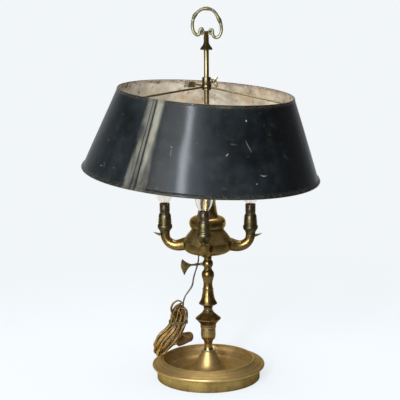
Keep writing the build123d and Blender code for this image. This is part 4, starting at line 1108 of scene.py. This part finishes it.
def blackPaint(name, rimWear):
    coat = {"Coat_Weight": 0.26, "Coat_Roughness": 0.18, "Coat_IOR": 1.4}
    shader, tree = startMaterial(name, Specular_IOR_Level=0.15, **coat)
    place, azimuth, height = inShade(tree)
    film = useGroup(blotches, place, Scale=7.5, Level=0.52, Softness=0.16)
    small = useGroup(blotches, place, Scale=60.0, Level=0.60, Softness=0.08)
    runs = noiseAt(mapped(place, {"Scale": (1, 1, 0.16)}), 42.0, 4.0)[0]
    lines = maskOf(scratches, place, Scale=6.0, Level=0.745)
    flecks = maskOf(specks, place, Scale=46.0, Size=0.085, Share=0.08)
    chips = maskOf(specks, place, Scale=150.0, Size=0.20, Share=0.22)
    rub = maskOf(edgeRub, place, Radius=0.0010, Gain=5.0, Scale=190.0)
    kept = ramp(azimuth, radians(18), radians(50), 1.0, 0.15)  # painted shade: the right side keeps more of its black, so that side reads darker
    tone = blend(times(film["Mask"], 0.6, kept), paint["black"], paint["faded"])
    tone = blend(times(ramp(runs, 0.50, 0.75), 0.35, kept), tone, paint["faded"])
    tone = blend(times(small["Mask"], 0.10), tone, paint["brown"])
    fromSeam = minus(azimuth, radians(shade["seamAzimuth"] + shade["seamAngle"] / 2))
    uneven = timesPlus(film["Fine"], radians(2.6), fromSeam)
    rightOf, leftOf = smoothBand(uneven, paint["rightBand"]), smoothBand(uneven, paint["leftBand"])
    inner = smoothBand(fromSeam, paint["seamBand"])
    beside = larger(rightOf, times(leftOf, 0.70), times(inner, 0.5))
    # the bands beside the seam's fold are lightened olive: wear on the fold's edges, and partly a painted
    # reflection off them
    tone = blend(times(beside, ramp(runs, 0.38, 0.62, 0.15, 0.85)), tone, paint["olive"])
    grooves = smoothBand(mathNode("ABSOLUTE", fromSeam), paint["grooves"])
    tone = blend(grooves, tone, paint["black"])
    marks = scuffMasks(azimuth, height, paint["marks"], 0.55)
    tone = blend(times(marks, ramp(small["Fine"], 0.36, 0.50, 0.3, 1.0)), tone, paint["pale"])
    tone = blend(times(lines, 0.45), tone, paint["brown"])
    tone = blend(times(flecks, 0.75), tone, paint["pale"])
    top = ramp(height, shade["topHeight"] - 0.0075, shade["topHeight"])
    foot = ramp(height, shade["bottomHeight"] + 0.0085, shade["bottomHeight"])
    rims = larger(top, foot)
    edge = larger(times(rims, rims, ramp(small["Fine"], 0.44, 0.60)), times(chips, rims))
    if rimWear:
        edge = larger(times(edge, 0.5), ramp(small["Fine"], 0.50, 0.64, 0.0, 0.7))
    tone = blend(larger(times(edge, 0.85), rub), tone, paint["brown"])
    rough = timesPlus(film["Mask"], 0.08, 0.40)
    rough = timesPlus(ramp(runs, 0.3, 0.7), 0.10, rough)
    relief = timesPlus(film["Fine"], 0.5, times(edge, -0.8))
    relief = timesPlus(lines, -0.5, relief)
    relief = timesPlus(noiseAt(place, 900.0, 2.0)[0], 0.35, relief)
    connect(shader, Base_Color=tone, Roughness=rough, Normal=bumpOf(relief, 0.16, 0.0005))


def creamPaint(name):
    shader, tree = startMaterial(name, Specular_IOR_Level=0.25)
    place, azimuth, height = inShade(tree)
    film = useGroup(blotches, place, Scale=16.0, Level=0.52, Softness=0.16)
    small = useGroup(blotches, place, Scale=85.0, Level=0.60, Softness=0.05)
    rustSpots = maskOf(specks, place, Scale=95.0, Size=0.34, Share=0.50)
    rustDots = maskOf(specks, place, Scale=220.0, Size=0.30, Share=0.40)
    high = ramp(height, shade["topHeight"] - 0.050, shade["topHeight"], 0.25, 1.0)
    tone = blend(times(film["Mask"], 0.90), paint["cream"], paint["creamDirty"])
    cloudy = ramp(small["Fine"], 0.34, 0.60, 0.3, 1.0)
    # stains and smears, with the painted shade on the inner left and beside the back arm
    for stains, colour in (("tanStains", "tan"), ("greyStainsAndLeftShade", "grey"), ("smearsAndArmShadow", "smear")):
        tone = blend(times(scuffMasks(azimuth, height, paint[stains], 0.8), cloudy), tone, paint[colour])
    edge = times(ramp(height, shade["topHeight"] - 0.006, shade["topHeight"]), ramp(small["Fine"], 0.4, 0.6))
    for mask in (times(small["Mask"], high, 0.8), times(larger(rustSpots, rustDots), high), edge):
        tone = blend(mask, tone, paint["rust"])
    rough = timesPlus(film["Fine"], 0.2, 0.5)
    normal = bumpOf(timesPlus(rustSpots, 0.8, film["Fine"]), 0.25, 0.0005)
    connect(shader, Base_Color=tone, Roughness=rough, Normal=normal)


blackPaint("shadeBlack", False)
blackPaint("shadeRim", True)
creamPaint("shadeCream")
shadePanel("left", shade["seamAzimuth"])
shadePanel("right", shade["seamAzimuth"] + 180)
print("shade formed")

# hems of the shade

hems = {  # side is 1 where the sheet rises from the bead, -1 where it falls
    "lower": {
        "drop": -0.1414, "radius": 0.1891, "bead": 0.0020, "lap": 0.0040,
        "side": 1, "node": "shade_bottom_wire",
    },
    "upper": {
        "drop": -0.0138, "radius": 0.1393, "bead": 0.0011, "lap": 0.0026,
        "side": -1, "node": "shade_top_wire",
    },
}
lip = {"half": 0.00055, "out": 0.0009, "step": 0.0004, "ripple": 0.0002}


def shadeRadius(height):
    return shade["bottomRadius"] + shadeShare(height) * (shade["topRadius"] - shade["bottomRadius"])


for label, hem in hems.items():
    side, bead = hem["side"], hem["bead"]
    edge = hem["drop"] + side * hem["lap"]
    radius = shadeRadius(edge)
    profile = [(radius + lip["half"], edge), (radius + lip["out"], edge - side * lip["step"])]
    profile.append((hem["radius"] + bead * 0.45, hem["drop"] + side * bead * 1.15))
    for angle in (radians(a) for a in range(50, -236, -22)):
        profile.append((hem["radius"] + bead * cos(angle), hem["drop"] + side * bead * sin(angle)))
    profile += [(radius - lip["half"], edge), profile[0]]
    piece = turnPiece("shadeHem" + label.title(), profile, segments=160)
    for vertex in piece.data.vertices:
        around = Vector((vertex.co.x, vertex.co.y, 0)) * 14
        vertex.co += outwards(vertex.co) * lip["ripple"] * noise.noise(around)
    piece.data.transform(shadeFrame)
    smoothByAngle(piece, 40)
    for face in piece.data.polygons:
        normal = shadeFrame.to_3x3().inverted() @ face.normal
        spot = shadeFrame.inverted() @ face.center
        face.material_index = 1 if facing(normal, spot) < -0.8 * hypot(spot.x, spot.y) else 0
    finish(piece, "shade", "shade_paint", ["shadeRim", "shadeCream"], hem["node"])
print("hems rolled")

# sockets: one husk, one sleeve and one filament, copied to the four spouts

socket = {
    "reach": 0.069,
    "azimuths": {"front": -4.5, "left": -94.5, "back": 175.5, "right": 85.5},
    "husk": [  # radius and height in mm, up the outside, down the inside
        (6.3, 233.9), (6.3, 238.5), (7.4, 238.5), (7.6, 240.6), (8.4, 243.2), (10.2, 246.0), (11.2, 247.2),
        (11.8, 248.6), (11.95, 250.4), (11.8, 252.4), (11.3, 253.8), (10.5, 254.7), (10.2, 255.4),
        (10.25, 256.2), (10.8, 256.7), (10.95, 257.4), (10.8, 258.2), (10.25, 258.7), (10.15, 260.2),
        (10.7, 260.7), (10.7, 261.6), (10.2, 262.1), (10.1, 265.2), (9.9, 267.6), (9.5, 269.8),
        (9.1, 270.9), (8.7, 271.5), (8.3, 271.5), (8.3, 256.8), (2.3, 256.8), (2.3, 233.9), (6.3, 233.9),
    ],
    "sleeve": [
        (8.2, 257.1), (8.2, 272.6), (8.05, 273.0), (7.85, 273.4), (7.85, 274.0), (8.05, 274.4),
        (8.25, 274.8), (8.25, 284.6), (8.05, 285.0), (8.05, 285.5), (8.4, 285.9), (8.55, 286.6),
        (8.5, 287.4), (8.15, 287.95), (7.3, 288.0), (6.9, 287.7), (6.75, 287.0), (6.75, 258.4),
        (2.3, 258.4), (2.3, 256.8), (7.9, 256.8), (8.2, 257.1),
    ],
    "wires": [  # half a filament's support, from the stem outwards, in mm from the socket's axis
        (0.5, 0.0, 300.0), (0.7, 0.0, 314.0), (1.2, 0.0, 324.0), (4.2, 0.0, 333.5), (5.6, 0.2, 338.0),
    ],
    "wireRadius": 0.00026,
    "zigzag": {"steps": 12, "depth": 0.2, "bow": 2.2, "rise": 4.5, "tooth": 0.9},  # mm
}
husk = turnPiece("husk", inMetres(socket["husk"]), segments=40)
sleeve = turnPiece("sleeve", inMetres(socket["sleeve"]), segments=36)
smoothByAngle(husk, 38)
smoothByAngle(sleeve, 38)

wireRoutes = [[Vector((side * x, y, z)) for x, y, z in inMetres(socket["wires"])] for side in (1, -1)]
zigzag, top = socket["zigzag"], Vector(socket["wires"][-1])
wireRoutes.append([])
for i in range(zigzag["steps"] + 1):
    share = i / zigzag["steps"]
    depth = zigzag["depth"] + zigzag["bow"] * sin(pi * share)
    tooth = zigzag["tooth"] if i % 2 else -zigzag["tooth"]
    height = top.z + zigzag["rise"] * sin(pi * share) + tooth
    wireRoutes[-1].append(Vector((top.x * (1 - 2 * share), depth, height)) / 1000)
wireSection = roundSection(socket["wireRadius"], 6)
wires = [sweepAlong("wire", routeLine("wireRoute", route, 3), wireSection, depthWay) for route in wireRoutes]
filament = joined("filament", wires)
smoothByAngle(filament, 60)
copied = {  # piece: what it copies, slot, material, node
    "socketHusk": (husk, "aged_brass", "huskGreen", ["socket_husk_"]),
    "candleSleeve": (sleeve, "holder_brown", "holderBrown", ["socket_sleeve_"]),
    "bulbFilament": (filament, "hidden_steel", "zincSteel", []),
}
for label, azimuth in socket["azimuths"].items():
    offset = direction(azimuth) * socket["reach"]
    for name, (source, slot, material, replaced) in copied.items():
        piece = moved(source, name + label.title(), offset)
        finish(piece, "font", slot, [material], *(node + label for node in replaced))
for piece in (husk, sleeve, filament):
    bpy.data.objects.remove(piece)
print("sockets turned")

# ring handle

handle = {
    "pinHeight": 0.5586,
    "route": [  # x and height from the pin, mm, from the left ear round to the right one
        (-4.9, 2.9), (-5.9, 6.4), (-7.6, 7.2), (-9.6, 4.6), (-10.2, 0.4), (-11.2, -2.6), (-14.8, -3.2),
        (-19.6, 1.2), (-22.0, 10.6), (-20.6, 20.6), (-17.4, 28.4), (-8.6, 36.6), (1.6, 38.6), (12.6, 34.6),
        (20.2, 21.6), (23.8, 11.4), (23.8, 1.0), (19.8, -6.2), (14.6, -7.6), (10.6, -4.4), (9.8, 0.2),
        (10.0, 3.8), (8.0, 5.9), (5.8, 4.6), (5.2, 1.8),
    ],
    "knuckles": [(-18.2, 27.0), (1.4, 39.0), (20.8, 19.8)],
    "radius": 0.00265,
    "flat": 0.92,
    "knuckleRings": [  # shift along the ring, swell and reach of each
        (0, 0.34, 0.0013),
        (0.0032, 0.26, 0.0009),
        (-0.0032, 0.26, 0.0009),
        (0, 0.12, 0.0060),
    ],
    "uneven": 0.09,
    "carving": 0.07,
    "smooth": (0.028, 0.036),  # length left uncarved at the left and right end
    "endSize": 0.55,
    "endReach": 0.005,
    "eye": [  # radius and reach along the pin, mm
        (1.3, -3.3), (2.5, -3.3), (2.8, -2.9), (2.8, -1.1), (2.45, -0.6), (2.45, 0.6), (2.8, 1.1), (2.8, 2.9),
        (2.5, 3.3), (1.3, 3.3), (1.3, -3.3),
    ],
    "eyeReach": 7.8,
}
pin = Vector((0, 0, handle["pinHeight"]))
ringLine = routeLine("ringRoute", [Vector((x, 0, z)) / 1000 + pin for x, z in handle["route"]], 14)
ringDones = distances(ringLine)
knucklePlaces = []
for x, z in handle["knuckles"]:
    spot = Vector((x / 1000, 0, z / 1000 + handle["pinHeight"]))
    nearest = min(range(len(ringLine)), key=lambda i: (ringLine[i] - spot).length)
    knucklePlaces.append(ringDones[nearest])


def ringGrow(done):
    size = 1.0 + handle["uneven"] * noise.noise(Vector((done * 160, 0.3, 2.0)))
    for place in knucklePlaces:
        for shift, swell, reach in handle["knuckleRings"]:
            size += swell * bell(done - place - shift, reach)
    left, right = handle["smooth"]
    carved = handle["carving"] * sin(done * 1500) if left < done < ringDones[-1] - right else 0.0
    end = min(done, ringDones[-1] - done)
    return (size + carved) * min(1.0, handle["endSize"] + (end / handle["endReach"]) ** 0.7)


ringSection = roundSection(handle["radius"], 14, handle["flat"])
ringParts = [sweepAlong("ringHandle", ringLine, ringSection, depthWay, grow=ringGrow)]
for side in (1, -1):
    foot = (side * handle["eyeReach"] / 1000, 0, handle["pinHeight"])
    ringParts.append(turnPiece("eye", inMetres(handle["eye"]), foot, (1, 0, 0), 28))
ringHandle = joined("ringHandle", ringParts)
smoothByAngle(ringHandle, 45)
finish(ringHandle, "handle", "aged_brass", ["greenBrass"], "ring_handle")

# winged key

key = {
    "height": 0.1896,
    "azimuth": -70.0,
    "roll": 38.0,
    "stem": [
        (1.95, 4.3), (1.95, 9.4), (2.8, 9.5), (2.9, 10.3), (2.7, 11.0), (2.0, 12.0), (1.7, 15.6),
        (2.1, 17.4), (2.45, 18.8), (2.3, 20.4), (1.7, 22.4), (1.55, 27.0), (1.3, 31.0),
    ],
    "neck": 28.0,
    "upper": (42.6, 11.5),  # reach and rise of the wing's corners, mm
    "outer": 46.2,
    "lower": (42.8, -17.0),
    "thickness": 0.0019,
    "easing": 0.00055,
    "grid": (12, 10),
    "flare": 1.55,
    "hollow": 1.6,
    "hollowAt": -0.15,
    "root": 1.5,  # half the height at the neck, mm
}
keyPlace = Vector((0, 0, key["height"]))
keyOut = direction(key["azimuth"])
keySide = Vector((0, 0, 1)).cross(keyOut)
wingUp = Vector((0, 0, cos(radians(key["roll"])))) - keySide * sin(radians(key["roll"]))
stem = turnPiece("keyStem", inMetres(key["stem"]), keyPlace, keyOut, 28)
smoothByAngle(stem, 38)
columns, rows = key["grid"]
grid = {"x_subdivisions": columns, "y_subdivisions": rows, "size": 2}
wing = added("keyWing", bpy.ops.mesh.primitive_grid_add, **grid)
for vertex in wing.data.vertices:
    far, side = (vertex.co.x + 1) / 2, vertex.co.y
    flare = far ** key["flare"]
    corner = key["upper"] if side > 0 else key["lower"]
    edge = key["outer"] - (key["outer"] - corner[0]) * abs(side - key["hollowAt"]) ** key["hollow"]
    rise = side * key["root"] * (1 - flare) + abs(side) * corner[1] * flare
    reach = key["neck"] + far * (edge - key["neck"])
    vertex.co = keyPlace + keyOut * reach / 1000 + wingUp * rise / 1000
wing.data.update()
applyModifier(wing, "SOLIDIFY", thickness=key["thickness"], offset=0)
easeEdges(wing, key["easing"], 50)
startEdit(wing)
endEdit(outward=True)
smoothByAngle(wing, 40)
finish(joined("wingKey", [stem, wing]), "font_key", "aged_brass", ["greenBrass"], "font_key")

# small fittings with eased edges

eased = {  # piece: node, body, slot, material, width of the eased edge
    "squareFinial": ("finial", "stand", "aged_brass", "agedBrass", 0.00045),
    "shadeScrew": ("shade_screw", "shade_screw", "dark_brass", "armBrass", 0.00035),
    "shadeClamp": ("shade_clamp", "shade_clamp", "dark_brass", "armBrass", 0.0003),
    "spiderHub": ("spider_hub", "shade", "dark_brass", "armBrass", 0.0004),
    # the column ring's pale brass is a painted highlight
    "columnRing": ("column_ring", "stand", "aged_brass", "highlightPaleBrass", 0.0004),
    "restRing": ("rest_ring", "stand", "dark_brass", "darkBrass", 0.0003),
}
for name, (node, body, slot, material, width) in eased.items():
    finish(softenedCopy(name, node, width), body, slot, [material], node)
print("handle, key and fittings made")

# plug

plug = {  # middle, way, half depth, half height of each section, mm
    "sections": [
        ((-31.0, 43.4, 53.0), (0.0, 1.0, -0.10), 3.4, 3.6),
        ((-31.0, 44.0, 53.0), (0.0, 1.0, -0.10), 4.3, 4.5),
        ((-31.0, 45.6, 52.8), (-0.1, 1.0, -0.10), 4.9, 5.2),
        ((-31.2, 47.0, 52.6), (-0.25, 1.0, -0.10), 6.7, 7.3),
        ((-31.9, 49.2, 52.1), (-0.45, 0.95, -0.16), 7.4, 8.4),
        ((-33.6, 51.6, 51.1), (-0.80, 0.85, -0.28), 7.6, 8.9),
        ((-36.6, 53.6, 49.6), (-1.0, 0.68, -0.36), 7.5, 9.2),
        ((-40.4, 55.2, 48.0), (-1.0, 0.44, -0.39), 7.2, 9.9),
        ((-44.0, 56.2, 46.4), (-1.0, 0.30, -0.40), 7.1, 10.4),
        ((-48.6, 57.2, 44.9), (-1.0, 0.24, -0.36), 6.9, 10.8),
        ((-51.6, 57.8, 44.0), (-1.0, 0.21, -0.32), 7.0, 11.0),
        ((-53.2, 58.1, 43.6), (-1.0, 0.20, -0.30), 6.9, 10.9),
        ((-54.0, 58.2, 43.4), (-1.0, 0.20, -0.30), 6.1, 10.1),
    ],
    "points": 36,
    "squareness": 2.6,
    "squareAfter": 3,  # the sections up to this one are round
    "grip": (5, 8),  # sections between which the grip is ribbed
    "rib": 0.0004,
    "blade": (17.0, 6.3, 1.5),  # length, width and thickness, mm
    "spacing": 12.7,  # mm, as are sink and hole
    "sink": 8.0,
    "hole": (1.7, 12.5),  # radius and place along the blade
    "tipRound": 0.0016,
    "bladeEase": 0.00022,
}


def plugFrame(middle, way):
    ahead = Vector(way).normalized()
    across = ahead.cross(Vector((0, 0, 1))).normalized()
    turn = Matrix((across, ahead.cross(across), ahead)).transposed().to_4x4()
    turn.translation = Vector(middle) / 1000
    return turn


plugBody = added("plugBody", bpy.ops.mesh.primitive_circle_add, vertices=plug["points"], radius=1)
startEdit(plugBody, "EDGE")
bpy.ops.mesh.select_all(action="SELECT")
for _ in plug["sections"][1:]:
    bpy.ops.mesh.extrude_edges_move(TRANSFORM_OT_translate={"value": (0, 0, 1)})
onAll(bpy.ops.mesh.fill_holes, sides=0)
endEdit()
for vertex in plugBody.data.vertices:
    x, y, number = vertex.co.x, vertex.co.y, round(vertex.co.z)
    middle, way, halfDepth, halfHeight = plug["sections"][number]
    power = plug["squareness"]
    squared = (abs(x) ** power + abs(y) ** power) ** (-1 / power) if number > plug["squareAfter"] else 1
    spot = Vector((x * halfDepth * squared, y * halfHeight * squared, 0)) / 1000
    vertex.co = plugFrame(middle, way) @ spot
plugBody.data.update()
startEdit(plugBody)
onAll(bpy.ops.mesh.normals_make_consistent, inside=False)


def onGrip(face):
    first, last = (Vector(plug["sections"][n][0]) / 1000 for n in plug["grip"])
    centre = face.calc_center_median()
    share = (centre - first).dot(last - first) / (last - first).length_squared
    return 0 < share < 1 and face.normal.z > 0.1 and face.normal.y < 0.75


selectWhere(plugBody, onGrip)
bpy.ops.mesh.inset(thickness=plug["rib"], depth=-plug["rib"], use_individual=True)
endEdit()
applyModifier(plugBody, "SUBSURF", levels=1, render_levels=1)
smoothByAngle(plugBody, 40)
finish(plugBody, "lead", "plug_brown", ["plugBrown"], "plug_body")

bladeLong, bladeWide, bladeThick = inMetres([plug["blade"]])[0]
holeRadius, holePlace = inMetres([plug["hole"]])[0]
sink = plug["sink"] / 1000


def atTip(edge):
    ends = [vertex.co for vertex in edge.verts]
    return all(end.z > bladeLong - 0.0001 for end in ends) and abs(ends[0].x - ends[1].x) < 0.001


blades = []
for side in (1, -1):
    aside = side * plug["spacing"] / 2000
    box = {"location": (0, aside, (bladeLong - sink) / 2), "scale": (bladeWide, bladeThick, bladeLong + sink)}
    blade = added("blade", bpy.ops.mesh.primitive_cube_add, size=1, **box)
    startEdit(blade, "EDGE")
    selectWhere(blade, atTip, "edges")
    bpy.ops.mesh.bevel(offset=plug["tipRound"], segments=4)
    endEdit()
    drill = {"vertices": 20, "radius": holeRadius, "depth": 0.006, "rotation": (pi / 2, 0, 0)}
    cutter = added("cutter", bpy.ops.mesh.primitive_cylinder_add, location=(0, aside, holePlace), **drill)
    applyModifier(blade, "BOOLEAN", operation="DIFFERENCE", object=cutter, solver="EXACT")
    bpy.data.objects.remove(cutter)
    easeEdges(blade, plug["bladeEase"], 40)
    blades.append(blade)
plugBlades = joined("plugBlades", blades)
plugBlades.data.transform(plugFrame(*plug["sections"][-1][:2]))
smoothByAngle(plugBlades, 35)
finish(plugBlades, "lead", "plug_brass", ["bladeBrass"], "plug_blades")

# tie round the hank

tie = {
    "along": 0.0330,
    "width": 0.0019,
    "thickness": 0.0007,
    "clearance": 0.0005,
    "turns": 2,
    "pitch": 0.0024,
    "steps": 28,  # points in a turn
    "slice": 0.0022,  # strands this near to the tie's plane
    "near": 0.03,  # and this near to its middle hold it out
    "spans": 6,
}
tieLeft, tieRight, tieDepth, _ = hankSection(tie["along"])
tieAcross = hankAcross(tieLeft, tieRight)
tieMiddle = hankMiddle(tieLeft, tieRight, tieDepth)
tieWay = tieAcross.cross(depthWay)
steps = tie["steps"]


def tieOut(number):
    angle = 2 * pi * number / steps
    return tieAcross * cos(angle) + depthWay * sin(angle)


strands = [vertex.co - tieMiddle for vertex in leadCord.data.vertices]
strands = [away for away in strands if abs(away.dot(tieWay)) < tie["slice"] and away.length < tie["near"]]
reaches = [max(0.0, *(away.dot(tieOut(i)) for away in strands)) for i in range(steps)]
tiePoints = []
for number in range(tie["turns"] * steps + 1):
    spot = tieMiddle + tieWay * (tie["pitch"] * (number / steps - tie["turns"] / 2))
    # the tape spans the hollows between strands
    shifts = range(-tie["spans"], tie["spans"] + 1)
    support = max(reaches[(number + shift) % steps] * cos(2 * pi * abs(shift) / steps) for shift in shifts)
    tiePoints.append(spot + tieOut(number) * (support + tie["clearance"] + tie["thickness"] / 2))
thick, wide = tie["thickness"] / 2, tie["width"] / 2
tieSection = [(thick, -wide), (thick, wide), (-thick, wide), (-thick, -wide)]
hankTie = sweepAlong("hankTie", routeLine("tieRoute", tiePoints, 3), tieSection, tieAcross)
smoothByAngle(hankTie, 40)
finish(hankTie, "lead", "lead_cover", ["tieTape"])
print("plug and tie made")

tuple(lead["drop"][0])
[tuple(p) for p in leadLine]

# clear glass


def glassFinish(name, tint, rough):
    shader, tree = startMaterial(name, Transmission_Weight=1.0, IOR=1.45, Metallic=0.0)
    film = maskOf(blotches, atObject(tree), Scale=60.0, Level=0.55, Softness=0.2)
    tone = blend(times(film, 0.5), tint, (0.93, 0.90, 0.84, 1))
    connect(shader, Base_Color=tone, Roughness=ramp(film, 0, 1, rough, rough + 0.05))


glassFinish("bulbGlass", (0.96, 0.93, 0.88, 1), 0.01)
glassFinish("stemGlass", (0.95, 0.93, 0.88, 1), 0.03)

# finishes on the CAD nodes

finishes = {  # by slot
    "aged_brass": "agedBrass",
    "dark_brass": "darkBrass",
    "polished_brass": "rodBrass",
    "cap_brass": "capBrass",
    "ballast_iron": "castIron",
    "hidden_steel": "zincSteel",
    "foot_felt": "footFelt",
    "holder_brown": "holderBrown",
    "lead_cover": "leadCover",
    "plug_brown": "plugBrown",
    "plug_brass": "bladeBrass",
    "shade_paint": "shadeRim",
    "clear_glass": "bulbGlass",
    "stem_glass": "stemGlass",
}
ownFinish = {  # by node
    "reservoir_cone": "coneBrass",
    "reservoir_bowl": "bowlBrass",
    "base_dish": "floorBrass",
    "base_skirt": "footBrass",
    "spider_arms": "armBrass",
}
for side in socket["azimuths"]:
    ownFinish["spout_" + side] = "castBrass"
for row in frame["record"]["subparts"]:
    name = ownFinish.get(row["node"]) or finishes.get(row["material_slot"])
    if name:
        mesh = nodes[row["node"]].data
        mesh.materials.clear()
        mesh.materials.append(bpy.data.materials[name])

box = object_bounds()
{"cad": [list(corner) for corner in cadBox], "visual": [list(corner) for corner in box]}
